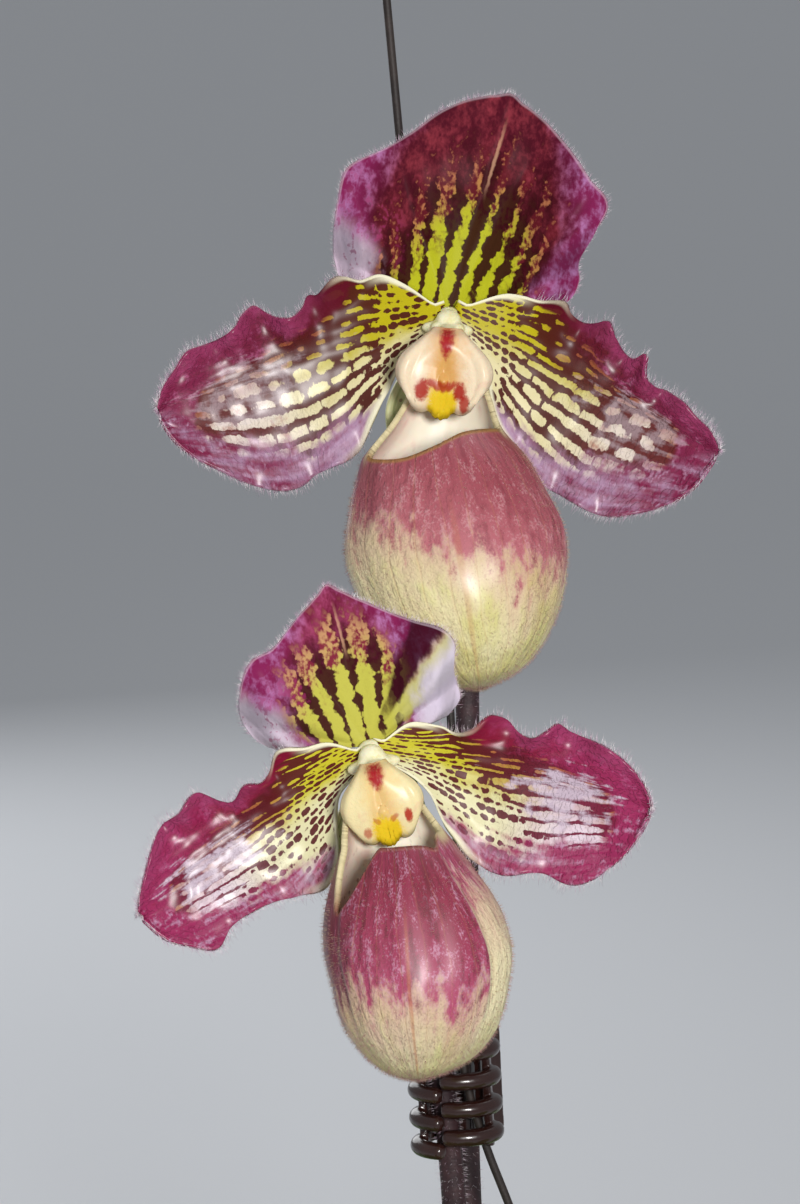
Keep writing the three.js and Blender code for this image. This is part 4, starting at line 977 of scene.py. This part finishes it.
def petal_form(petal, side):
    """A petal between its two waved margins, swept a little forwards and drooping from the hub."""
    angle = math.radians(-petal["droop"])
    base, length = petal["base"], petal["length"]
    starts = {}

    def offset_at(s, v):
        return lerp(-through(petal["lower"], s), through(petal["upper"], s), v)

    def face_at(s, v):
        offset = offset_at(s, v)
        return (base[0] + s * math.cos(angle) - offset * math.sin(angle),
                base[1] + s * math.sin(angle) + offset * math.cos(angle))

    def start_at(v):
        """Where the petal begins on a line across it, clear of the column and the other petal."""
        s = -2.0
        while True:
            x, z = face_at(s, v)
            if x > 0.2 and math.hypot(x, z) > 1.6:
                return s
            s += 0.05

    def along(u, v):
        key = round(v, 5)
        if key not in starts:
            starts[key] = start_at(v)
        return lerp(starts[key], length, math.sin(u * math.pi / 2) ** 0.9)

    def fan_at(s, v):
        """Where a point lies between the petal's margins once they are evened out, from -1 to 1."""
        offset = offset_at(s, v)
        margin = petal["upper" if offset > 0 else "lower"]
        steps = (-9, -6, -3, 0, 3, 6, 9)
        return offset * len(steps) / sum(through(margin, clamp(s + step, 1, length - 3)) for step in steps)

    def shape(u, v):
        s = along(u, v)
        share = max(s / length, 0)
        across = 2 * v - 1
        swell = across ** 4 * smooth(share, 0.1, 0.3) * (1 - smooth(share, 0.72, 0.95))
        ruffle = (2 if across > 0 else 1) * swell * math.sin(2 * math.pi * s / petal["wave"] + petal["phase"])
        bowl = 1.6 * across ** 2 * smooth(share, 0.05, 0.4)
        crinkle = noise.noise(Vector((s * 0.3, across * 3, petal["phase"]))) * 0.3 * share
        furrow = 0.07 * math.cos(fan_at(s, v) * 18) * smooth(share, 0.05, 0.3) * (1 - smooth(share, 0.8, 1))
        sweep = 1.6 * math.sin(share * math.pi) - 6 * share ** 2 - 0.3
        x, z = face_at(s, v)
        return Vector((side * x, sweep - bowl + ruffle + crinkle + furrow, z))

    return shape, {"UVMap": lambda u, v: (max(along(u, v) / length, 0), v),
                   "Veins": lambda u, v: (along(u, v), fan_at(along(u, v), v))}


def synsepal_form(synsepal):
    """The joined lower sepals: a spoon behind the pouch."""
    lean = math.tan(math.radians(synsepal["lean"]))

    def shape(u, v):
        across = 2 * v - 1
        down = u * synsepal["length"]
        x = across * synsepal["width"] * through(SYNSEPAL_HALF, u) - down * lean
        wave = 0.25 * math.sin(u * 17) * abs(across) ** 3
        y = 1.4 + 5 * u ** 0.8 - 2.6 * across ** 2 * math.sin(math.pi * u) + wave
        return Vector((x, y, -HUB_RADIUS - 1.4 - down))
    return shape, {}


def pouch_form(pouch):
    """The slipper: rings from its toe to its sloping rim, the front lapping over the side lobes."""
    toe = pouch["left"][0][0]
    lean = math.radians(pouch["lean"])
    top = pouch["rim_left"][-1][1]
    hub_x = pouch["mouth"][1] * math.sin(lean) - pouch["mouth"][0] * math.cos(lean)
    angles, heights = ({side: [(lane, point[i]) for lane, point in zip(POUCH_LANES, pouch["rim_" + side])]
                        for side in ("left", "right")} for i in (0, 1))

    def lane_at(u):
        return abs(2 * u - 1) * 180, "left" if u < 0.5 else "right"

    def height_at(u, v):
        lane, side = lane_at(u)
        near = [clamp(lane + step, 0, 180) for step in (-4.5, -1.5, 1.5, 4.5)]
        return lerp(toe, sum(through(heights[side], x) for x in near) / len(near), v ** 1.5)

    def shape(u, v):
        lane, side = lane_at(u)
        sign = -1 if side == "left" else 1
        z = height_at(u, v)
        angle = math.radians(lerp(lane, through(angles[side], lane), smooth(v, 0.55, 1)))
        forward = 1 - smooth(lane, 110, 150)
        step = pouch["crease_depth"] * smooth(lane, 48, 54) * forward
        step *= smooth(z, pouch["crease_end"] - 6, pouch["crease_end"] + 4)
        front, rear = through(pouch["front"], z), through(pouch["rear"], z)
        rib = 0.12 * math.cos(math.radians(lane) * 10) * (1 - abs(2 * v - 1) ** 3) * forward
        turn = sign * math.radians(lane)
        bumpy = noise.noise(Vector((4.8 * math.sin(turn), 4.8 * math.cos(turn), v * 5 + lean * 9)))
        bumpy *= (1 - v) * v
        wide = max(through(pouch[side], z) - step + rib + bumpy, 0.01)
        deep = max((front - rear) / 2 - step + rib + bumpy, 0.01)
        return Vector((sign * wide * math.sin(angle) + hub_x * clamp(z / top),
                       -(front + rear) / 2 - deep * math.cos(angle), z))
    return shape, {"Face": lambda u, v: (u, height_at(u, v))}


def shield_form(shield):
    """The staminode: a bulging shield with two lobes and a tongue along its lower edge."""
    width = shield["width"]

    def shape(u, v):
        across = 2 * v - 1
        foot = lerp(shield["top"], shield["bottom"], through(SHIELD_EDGE, abs(across)))
        foot += 0.22 * math.sin(across * 43 + width) * bell(across, 0, 0.45)
        bulge = -width * (0.72 + 0.06 * (1 - across ** 2) + 0.06 * math.sin(math.pi * u))
        dish = shield["dish"] * (bell(across, 0, 0.9) - 0.5 * bell(abs(across), 0.9, 0.2))
        dish *= smooth(u, 0.15, 0.5)
        groove = 0.25 * bell(across, 0, 0.2) * smooth(u, 0.2, 0.4) * (1 - smooth(u, 0.55, 0.7))
        boss = -0.5 * bell(across, 0, 0.14) * bell(u, 0.6, 0.09)
        tongue = 0.3 * bell(across, 0.1, 0.3) * smooth(u, 0.72, 0.9)
        curl = 1.1 * smooth(abs(across), 0.88, 1) + 1.3 * smooth(u, 0.94, 1) + 2 * smooth(u, 0.14, 0)
        return Vector((across * width * through(SHIELD_HALF, u), bulge + dish + groove + boss + tongue + curl,
                       lerp(shield["top"], foot, u)))
    return shape, {"Face": lambda u, v: ((v * 2 - 1) * through(SHIELD_HALF, u), u)}


# ---------------------------------------------------------------- hairs
def hair_piece(name, roots, material, slot):
    """Fine hairs, each a three-sided spike from (root, direction, length, radius) in millimetres."""
    whole = bmesh.new()
    for first in range(0, len(roots), 120):
        batch = bmesh.new()
        for root, direction, length, radius in roots[first:first + 120]:
            turn = direction.to_track_quat("Z", "Y").to_matrix().to_4x4()
            middle = Matrix.Translation(root + direction.normalized() * length * 0.5)
            bmesh.ops.create_cone(batch, cap_ends=True, segments=3, radius1=radius, radius2=0,
                                  depth=length, matrix=middle @ turn)
        add_mesh(whole, batch)
    return piece(name, whole, [material], slot)


def in_millimetres(place):
    return Matrix.Scale(1 / MM, 4) @ place


def margin_roots(shape, place, edge, count, lengths, rng, radius=0.048):
    """Hair roots along an edge of a surface. edge(t) gives (u, v) there and (u, v) just inside."""
    roots = []
    world = in_millimetres(place)
    for i in range(count):
        there, inside = edge((i + rng.random()) / count)
        at = world @ shape(*there)
        outward = (at - world @ shape(*inside)).normalized()
        lean = Vector((rng.gauss(0, 0.25), rng.gauss(-0.1, 0.4), rng.gauss(0.05, 0.22)))
        roots.append((at - outward * 0.15, outward + lean, rng.uniform(*lengths), radius))
    return roots


def skin_roots(shape, place, count, lengths, rng, area, fall, reach=(0, 1), band=(0, 1), radius=0.035,
               sign=1):
    """Hair roots scattered evenly over a surface, standing out of its outer side."""
    roots = []
    world = in_millimetres(place)
    step = 0.004
    while len(roots) < count:
        u = rng.uniform(*reach)
        v = rng.uniform(*band)
        along = world @ shape(min(u + step, 1), v) - world @ shape(max(u - step, 0), v)
        across = world @ shape(u, min(v + step, 1)) - world @ shape(u, max(v - step, 0))
        normal = along.cross(across) * sign
        if normal.length < 1e-9 or rng.random() > normal.length / area:
            continue
        lean = Vector((rng.gauss(0, 0.2), rng.gauss(0, 0.2), rng.gauss(fall, 0.2)))
        roots.append((world @ shape(u, v), normal.normalized() + lean, rng.uniform(*lengths), radius))
    return roots


# ---------------------------------------------------------------- building one bloom
def build_bloom(bloom, looks, rng):
    title, seed = bloom["title"], looks["seed"]
    place = bloom_place(bloom)

    form = dorsal_form(bloom["dorsal"])
    shape = form[0]
    paints = [dorsal_paint(f"{title} dorsal face", seed, looks["dorsal"]),
              dorsal_back_paint(f"{title} dorsal back")]
    blade(f"{title}_dorsal_sepal_fine", "sepal", form, paints, "dorsal_wine", place, flip=True)
    roots = margin_roots(shape, place, lambda t: ((1, t), (0.93, t)), 620, (0.8, 2.0), rng)
    roots += margin_roots(shape, place, lambda t: ((1, 0.42 + 0.16 * t), (0.96, 0.42 + 0.16 * t)), 60,
                          (0.8, 1.9), rng)
    roots += skin_roots(shape, place, 500, (0.4, 0.9), rng, 0.05, 0.0, reach=(0.2, 1))
    hair_piece(f"{title}_dorsal_hairs", roots, HAIR, "dorsal_wine")

    for label, side in (("left", -1), ("right", 1)):
        name = f"{title}_petal_{label}"
        form = petal_form(bloom["petals"][label], side)
        shape = form[0]
        paints = [petal_paint(f"{name} face", seed + side * 7, looks["petal"]),
                  petal_back_paint(f"{name} back")]
        blade(f"{name}_fine", "petal", form, paints, "petal_wine", place, flip=side < 0)
        roots = margin_roots(shape, place, lambda t: ((0.12 + 0.88 * t, 1), (0.12 + 0.88 * t, 0.95)), 330,
                             (1.1, 3.2), rng)
        roots += margin_roots(shape, place, lambda t: ((0.2 + 0.8 * t, 0), (0.2 + 0.8 * t, 0.05)), 300,
                              (1.0, 2.9), rng)
        roots += margin_roots(shape, place, lambda t: ((1, t), (0.97, t)), 170, (0.8, 1.9), rng)
        hair_piece(f"{name}_hairs", roots, HAIR, "petal_wine")

    paints = [sepal_green_paint(f"{title} synsepal {part}") for part in ("face", "back")]
    blade(f"{title}_synsepal_fine", "synsepal", synsepal_form(bloom["synsepal"]), paints,
          "synsepal_green", place)

    lip = lip_place(bloom)
    form = pouch_form(bloom["pouch"])
    paints = [pouch_paint(f"{title} pouch face", seed, looks["pouch"]),
              pouch_inside_paint(f"{title} pouch inside")]
    blade(f"{title}_pouch_fine", "pouch", form, paints, "pouch_rose", lip, seam="u", offset=-1)
    roots = skin_roots(form[0], lip, 11000, (0.45, 0.95), rng, 0.03, -0.1, (0.02, 0.98), (0.0, 0.92), 0.026)
    hair_piece(f"{title}_pouch_hairs", roots, FUZZ, "pouch_rose")

    blade(f"{title}_staminode_fine", "shield", shield_form(bloom["staminode"]),
          [shield_paint(f"{title} staminode face", looks["shield"])], "staminode_cream", place)
    build_column(bloom, place)


def build_column(bloom, place):
    """The column: the knob that the sepals and petals meet on, with a saddle down to the staminode."""
    width, top = bloom["staminode"]["width"], bloom["staminode"]["top"]
    reach = width / 14
    end = -0.72 * width
    neck = [(0, 1, -3.4), (0, -2, -4), (0, end * 0.6, min(top, -3.4) - 1), (0, end + 1, top - 1.6)]
    whole = bmesh.new()
    add_mesh(whole, tube_mesh("neck", stem_form(neck, lambda t, angle: 2.1)))
    saddle = [((0, -4.6 * reach, -5.4), (2.4, 2, 1.9))]
    saddle += [((x, -3.6 * reach, -3.2), (1.2, 1.2, 1.2)) for x in (2.1, -2.1)]
    for at, radii in COLUMN_LUMPS + saddle:
        lump = Matrix.Translation(at) @ Matrix.Diagonal((*radii, 1))
        bmesh.ops.create_uvsphere(whole, u_segments=32, v_segments=20, radius=1, matrix=lump)
    column = piece(f"{bloom['title']}_column_fine", whole, [COLUMN], "column_cream", place)
    melt(column, 0.22, 40)


# ---------------------------------------------------------------- stems
def spline(path, t):
    """A point of the smooth curve through a path, t running from 0 to 1 by its chord lengths."""
    points = [Vector(p) for p in path]
    chords = [(b - a).length for a, b in zip(points, points[1:])]
    far = t * sum(chords)
    i = 0
    while i < len(chords) - 1 and far > chords[i]:
        far -= chords[i]
        i += 1
    x = clamp(far / chords[i])
    p1, p2 = points[i], points[i + 1]
    p0 = points[i - 1] if i > 0 else p1 * 2 - p2
    p3 = points[i + 2] if i + 2 < len(points) else p2 * 2 - p1
    return 0.5 * (2 * p1 + (p2 - p0) * x + (2 * p0 - 5 * p1 + 4 * p2 - p3) * x ** 2
                  + (3 * p1 - p0 - 3 * p2 + p3) * x ** 3)


def spline_frame(path, t):
    """The curve's point, and the directions ahead, right and behind at it."""
    ahead = (spline(path, min(t + 0.01, 1)) - spline(path, max(t - 0.01, 0))).normalized()
    right = (Vector((1, 0, 0)) - ahead * ahead.x).normalized()
    return spline(path, t), ahead, right, ahead.cross(right)


def stem_form(path, radius):
    """A closed round stem. radius(t, angle) is its radius, and its ends are rounded over."""
    def shape(u, v):
        t = clamp((u - 0.01) / 0.98)
        at, ahead, right, rear = spline_frame(path, t)
        end = min(u, 1 - u) / 0.01
        angle = v * 2 * math.pi
        r = radius(t, angle) * math.sqrt(clamp(1 - (1 - clamp(end)) ** 2))
        return at + right * (r * math.cos(angle)) + rear * (r * math.sin(angle))
    return shape, {}


def ovary_path(bloom, scape):
    """From the top of a stem, bending forwards, to the hub of its bloom."""
    hub = Vector(bloom["hub"])
    foot, below = Vector(scape[-1]), Vector(scape[-2])
    rise = (foot - below).normalized()
    start = foot + rise * (GAP + 0.1)
    bend = start + rise * 9
    end = hub + (bend - hub).normalized() * (HUB_RADIUS + GAP + 0.1)
    return [start, start.lerp(bend, 0.6), bend.lerp(end, 0.3), end.lerp(bend, 0.35), end]


def bract_form(path):
    """The folded bract round the foot of the ovary, open in front."""
    def shape(u, v):
        at, ahead, right, rear = spline_frame(path, u * 0.62)
        angle = math.radians(105) * (1 - 0.86 * u ** 1.8) * (2 * v - 1)
        r = 4.2 + 1.6 * u ** 2 + 0.18 * math.cos(angle * 9) * (1 - u)
        return at + right * (r * math.sin(angle)) + rear * (r * math.cos(angle))
    return shape, {}


def build_stem(bloom, scape, foot, top, rng):
    title = bloom["title"]

    def round_stem(t, angle):
        return lerp(foot, top, t) * (1 + 0.02 * math.sin(angle * 3 + t * 20))

    def ribbed(t, angle):
        swell = 0.68 + 0.32 * math.sin(math.pi * clamp(t * 1.05))
        return 3 * swell + 0.3 * math.cos(6 * angle) * swell

    path = ovary_path(bloom, scape)
    for part, line, radius, paint, slot, count, lengths, fall, reach in (
            ("scape", scape, round_stem, STEM, "stem_hairy", 2600, (0.7, 1.6), -0.1, (0.02, 0.98)),
            ("ovary", path, ribbed, OVARY, "ovary_hairy", 900, (0.5, 1.2), 0.0, (0.05, 0.95))):
        form = stem_form(line, radius)
        piece(f"{title}_{part}_fine", surface_mesh(part, form, "v"), [paint], slot, flip=True)
        roots = skin_roots(form[0], IN_MM, count, lengths, rng, 0.02, fall, reach, sign=-1)
        hair_piece(f"{title}_{part}_hairs", roots, HAIR, slot)
    blade(f"{title}_bract_fine", "bract", bract_form(path), [BRACT], "bract_green")


# ---------------------------------------------------------------- leaves and crowns
def leaf_form(at, leaf, seed):
    """A strap leaf: a folded foot, a keel along its middle, opening flat and arching over."""
    turn, length, width, rise, tip, height = leaf
    direction = Vector((math.cos(math.radians(turn)), math.sin(math.radians(turn)), 0))
    side = Vector((-direction.y, direction.x, 0))
    clasp = 0.07 * width * math.sin(math.radians(58)) * math.sin(math.radians(rise))
    rib = [Vector((at[0], at[1], height)) + direction * (5 + clasp + THICK["leaf"] / 2 + GAP)]
    stretches = 40

    def pitch(t):
        return math.radians(lerp(rise, tip, t ** 0.9))

    for i in range(stretches):
        angle = pitch((i + 0.5) / stretches)
        rib.append(rib[-1] + (direction * math.cos(angle) + Vector((0, 0, math.sin(angle))))
                   * (length / stretches))

    def shape(u, v):
        across = 2 * v - 1
        half = width * through(LEAF_HALF, u)
        fold = math.radians(lerp(58, 13, smooth(u, 0, 0.45)))
        angle = pitch(u)
        above = direction * -math.sin(angle) + Vector((0, 0, math.cos(angle)))
        i = min(int(u * stretches), stretches - 1)
        spine = rib[i].lerp(rib[i + 1], u * stretches - i)
        ripple = 0.9 * noise.noise(Vector((u * 6, across * 0.9, seed))) * smooth(u, 0.1, 0.3) * abs(across)
        keel = 0.5 * bell(across, 0, 0.12) * smooth(u, 0.03, 0.1)
        lift = half * abs(across) ** 1.15 * math.sin(fold) - keel
        return spine + side * (half * across * math.cos(fold)) + above * (lift + ripple)
    return shape, {}


def build_fan(key, at, leaves):
    """A growth: its crown, a finer copy of the solid with its facets melted, and its leaves."""
    bm = bmesh.new()
    bm.from_mesh(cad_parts[f"crown_{key}"].data)
    bmesh.ops.remove_doubles(bm, verts=bm.verts, dist=1e-6)
    melt(piece(f"crown_{key}_fine", bm, [CROWN], "crown_green", Matrix.Identity(4)), 0.5, 4)
    for i, leaf in enumerate(leaves):
        name = f"leaf_{key}{i + 1}"
        blade(f"{name}_fine", "leaf", leaf_form(at, leaf, i * 3 + ord(key)),
              [leaf_paint(f"{name} face", i * 5 + ord(key)), LEAF_BACK], "leaf_green")


# ---------------------------------------------------------------- pot and bark
def build_pot():
    pot = piece("pot_fine", lathe(POT_WALL, 112, 1e-3), [POT], "pot_plastic")
    cutter = bmesh.new()
    for i in range(DRAIN["count"]):
        angle = i * 2 * math.pi / DRAIN["count"]
        at = Matrix.Translation((DRAIN["reach"] * math.cos(angle), DRAIN["reach"] * math.sin(angle), 1.5))
        rod(cutter, DRAIN["radius"], 9, 24, at)
    drill(pot, cutter)
    pot.modifiers.new("edges", "EDGE_SPLIT").split_angle = math.radians(40)


def bark_chunk(size, rng):
    """One rough bark chip: a block with its corners drawn in and its faces pushed about."""
    bm = bmesh.new()
    bmesh.ops.create_cube(bm, size=1)
    bmesh.ops.subdivide_edges(bm, edges=bm.edges, cuts=1, use_grid_fill=True)
    bmesh.ops.transform(bm, matrix=Matrix.Diagonal((*size, 1)), verts=bm.verts)
    for vert in bm.verts:
        corner = 1 - 0.1 * sum(abs(vert.co[i]) > 0.45 * size[i] for i in range(3))
        shift = Vector([rng.uniform(-1, 1) for _ in range(3)]) * (0.09 * min(size) + 0.2)
        vert.co = vert.co * corner + shift
    return bm


def build_bark(rng):
    """Chips heaped on a plain core, with a perlite grain beside every fifth chip."""
    whole, grains = bmesh.new(), bmesh.new()
    bmesh.ops.create_cone(whole, cap_ends=True, cap_tris=False, segments=64, radius1=BARK["foot"],
                          radius2=BARK["reach"] - 0.2, depth=BARK["deep"],
                          matrix=Matrix.Translation((0, 0, BARK["middle"])))
    placed = 0
    while placed < BARK["chips"]:
        reach = math.sqrt(rng.random()) * (BARK["reach"] - 5.5)
        turn = rng.uniform(0, 2 * math.pi)
        at = Vector((reach * math.cos(turn), reach * math.sin(turn), 0))
        if min((at.xy - Vector(spot)).length for spot, _ in CROWNS.values()) < BARK["clear"]:
            continue
        placed += 1
        size = (rng.uniform(6, 14), rng.uniform(4, 8), rng.uniform(2.5, 5))
        at.z = BARK["level"] + BARK["heap"] * placed / BARK["chips"] + rng.uniform(-1, 1)
        tilt = Matrix.Rotation(rng.gauss(0, BARK["slope"]), 4, "X")
        tilt = tilt @ Matrix.Rotation(rng.gauss(0, BARK["slope"]), 4, "Y")
        chip = bark_chunk(size, rng)
        spin = Matrix.Rotation(rng.uniform(0, math.pi), 4, "Z")
        bmesh.ops.transform(chip, matrix=Matrix.Translation(at) @ tilt @ spin, verts=chip.verts)
        add_mesh(whole, chip)
        if placed % 5 == 0:
            spot = Matrix.Translation(at + Vector((rng.uniform(-4, 4), rng.uniform(-4, 4), 2.6)))
            bmesh.ops.create_icosphere(grains, subdivisions=1, radius=rng.uniform(0.9, 1.9),
                                       matrix=spot @ Matrix.Rotation(rng.uniform(0, 3), 4, "X"))
    bark = piece("bark_mix_fine", whole, [CHIPS], "bark")
    for face in bark.data.polygons:
        face.use_smooth = False
    for vert in grains.verts:
        vert.co += Vector([rng.uniform(-0.25, 0.25) for _ in range(3)])
    piece("perlite_grains", grains, [PERLITE], "bark")


# ---------------------------------------------------------------- clip
def around_stems(side, degrees, grow, level):
    angle = math.radians(degrees)
    return Vector((side * (CLIP["in_x"] + grow) * math.cos(angle), -(CLIP["in_y"] + grow) * math.sin(angle),
                   level))


def jaw_plate(side):
    """The curved back plate of a jaw, from behind the stems to the roots of its fingers."""
    half = CLIP["height"] / 2 - CLIP["finger_radius"]

    def shape(u, v):
        return around_stems(side, lerp(-58, 12, u), 0.4 + CLIP["wall"] / 2, lerp(-half, half, v))
    bm = surface_mesh("jaw", (shape, {}))
    if side > 0:
        bmesh.ops.reverse_faces(bm, faces=bm.faces)
    bmesh.ops.recalc_face_normals(bm, faces=bm.faces)
    bmesh.ops.solidify(bm, geom=bm.faces[:], thickness=CLIP["wall"])
    return bm


def finger_form(side, level, reach):
    """A round-ended finger that curls round the front of the stems."""
    path = [around_stems(side, lerp(-12, reach, i / 6), CLIP["finger_radius"], level) for i in range(7)]
    up = Vector((0, 0, 1))

    def shape(u, v):
        at, ahead, right, rear = spline_frame(path, clamp((u - 0.08) / 0.84))
        end = clamp(min(u, 1 - u) / 0.08)
        r = (CLIP["finger_radius"] + 0.3) * (1 - 0.08 * u) * math.sqrt(1 - (1 - end) ** 2)
        at = at + ahead * (CLIP["finger_radius"] * 0.8 * (smooth(u, 0.92, 1) - smooth(u, 0.08, 0)))
        out = ahead.cross(up).normalized()
        angle = v * 2 * math.pi
        return at + out * (r * math.cos(angle)) + up * (r * math.sin(angle))
    return shape, {}


def build_jaw(name, side, body):
    """A jaw: its plate, fingers, two knuckles round the pin, and the handle behind them."""
    half = CLIP["height"] / 2
    pitch = (CLIP["height"] - 2 * CLIP["finger_radius"]) / (CLIP["fingers"] - 0.5)
    whole = jaw_plate(side)
    for i in range(CLIP["fingers"]):
        level = -half + CLIP["finger_radius"] + (i + (0.5 if side > 0 else 0)) * pitch
        add_mesh(whole, tube_mesh("finger", finger_form(side, level, 94 if side > 0 else 72)))
    arm = side * math.radians(CLIP["handle_turn"])
    tall = 0.2 * CLIP["height"]
    web = CLIP["web"]
    away = Vector((math.sin(arm), math.cos(arm), 0))
    pin = Vector((0, CLIP["pin_y"], 0))

    def block(size, at, turn):
        bm = bmesh.new()
        bmesh.ops.create_cube(bm, size=1, matrix=Matrix.Translation(at) @ Matrix.Rotation(turn, 4, "Z")
                              @ Matrix.Diagonal((*size, 1)))
        add_mesh(whole, bm)
    for share in ((-0.76, 0.29) if side > 0 else (-0.29, 0.76)):
        level = Vector((0, 0, share * half))
        knuckle = bmesh.new()
        rod(knuckle, CLIP["knuckle"], tall, 32, Matrix.Translation(pin + level))
        add_mesh(whole, knuckle)
        block((5.2, web, tall), Vector((side * 2.7, CLIP["pin_y"] - 2, 0)) + level, side * -0.75)
        block((web, 4, tall), pin + away * 3 + level, -arm)
    plate = CLIP["handle"] - 3.4
    block((web, plate, CLIP["height"] * 0.94), pin + away * (3.6 + plate / 2), -arm)
    place = Matrix.Translation(CLIP["at"]) @ Matrix.Rotation(math.radians(CLIP["tilt"]), 4, "Y")
    place = place @ Matrix.Rotation(math.radians(CLIP["yaw"]), 4, "Z")
    jaw = piece(name + "_fine", whole, [CLIP_PLASTIC], "clip_plastic", IN_MM @ place, body)
    melt(jaw, 0.22, 6)
    settle(jaw)
    bore = bmesh.new()
    rod(bore, CLIP["bore"], 2 * CLIP["height"], 24, place @ Matrix.Translation(pin))
    drill(jaw, bore)
    for face in jaw.data.polygons:
        face.use_smooth = True


# ---------------------------------------------------------------- the plant
rng = random.Random(11)
for bloom in (LOWER, UPPER):
    title = bloom["title"]
    build_bloom(bloom, LOOKS[title], rng)
    build_stem(bloom, *SCAPES[title], rng)
for key, (at, leaves) in CROWNS.items():
    build_fan(key, at, leaves)
build_pot()
build_bark(rng)
stake = stem_form(STAKE_PATH, lambda t, angle: STAKE_RADIUS)
piece("stake_fine", surface_mesh("stake", stake, "v"), [STAKE], "stake_dark", flip=True)
build_jaw("clip_jaw_right", 1, "plant")
build_jaw("clip_jaw_left", -1, "clip_jaw")
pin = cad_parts["clip_pin"].data
pin.materials.clear()
pin.materials.append(steel_paint("pin steel"))

# ---------------------------------------------------------------- stage, lights and camera
AIM = Vector((-10, -35, 290)) * MM
DISTANCE = 627 * MM
ELEVATION = 8
WALL = {"start": 1.6, "foot": 3, "sweep": 1.4, "steps": 12, "top": 4.5}
# Each light's place, power, size, colour and spread.
LIGHTS = {"key": ((0.14, -0.78, 0.44), 1.38, 0.15, (1.0, 0.98, 0.96), 90),
          "top": ((0.2, 0.3, 1.3), 2.4, 0.8, (1.0, 1.0, 1.0), 180),
          "back": ((-0.55, 1.15, 0.75), 5, 1.0, (0.97, 0.98, 1.0), 180)}


def build_stage():
    """A pale floor that sweeps up, far away all round, into a wall which casts no light or shade."""
    paint = studio_paint("pale floor", "#dddfe2")
    foot, sweep, steps = WALL["foot"], WALL["sweep"], WALL["steps"]
    bends = [i * math.pi / 2 / steps for i in range(1, steps + 1)]
    rise = [(foot + sweep * math.sin(a), sweep - sweep * math.cos(a)) for a in bends]
    profiles = {"floor": [(0, 0), (WALL["start"], 0)],
                "far_wall": [(WALL["start"], 0), (foot, 0), *rise, (foot + sweep, WALL["top"])]}
    for name, profile in profiles.items():
        bm = lathe([(r, z - 0.0002) for r, z in profile], 96, 1e-5)
        found = put(name, smoothed(bm), [paint])
    found.visible_diffuse = found.visible_glossy = found.visible_shadow = False


def add_light(name, at, energy, size, tint, spread):
    light = bpy.data.lights.new(name, "AREA")
    light.shape = "DISK"
    light.energy = energy
    light.size = size
    light.color = tint
    light.spread = math.radians(spread)
    found = bpy.data.objects.new(name, light)
    found.location = at
    found.rotation_mode = "QUATERNION"
    found.rotation_quaternion = (AIM - Vector(at)).to_track_quat("-Z", "Y")
    bpy.context.scene.collection.objects.link(found)


build_stage()
for name, light in LIGHTS.items():
    add_light(name, *light)
world = bpy.data.worlds.new("studio")
world.use_nodes = True
backdrop = world.node_tree.nodes["Background"].inputs
backdrop["Color"].default_value = (0.62, 0.64, 0.67, 1)
backdrop["Strength"].default_value = 0.48
bpy.context.scene.world = world
bpy.context.scene.view_settings.view_transform = "Standard"

lens = bpy.data.cameras.new("camera")
lens.lens = 105
lens.sensor_width = 36
lens.clip_start = 0.01
camera = bpy.data.objects.new("camera", lens)
tilt = math.radians(ELEVATION)
camera.location = AIM + Vector((0, -math.cos(tilt), math.sin(tilt))) * DISTANCE
camera.rotation_euler = (math.pi / 2 - tilt, 0, 0)
bpy.context.scene.collection.objects.link(camera)
bpy.context.scene.camera = camera
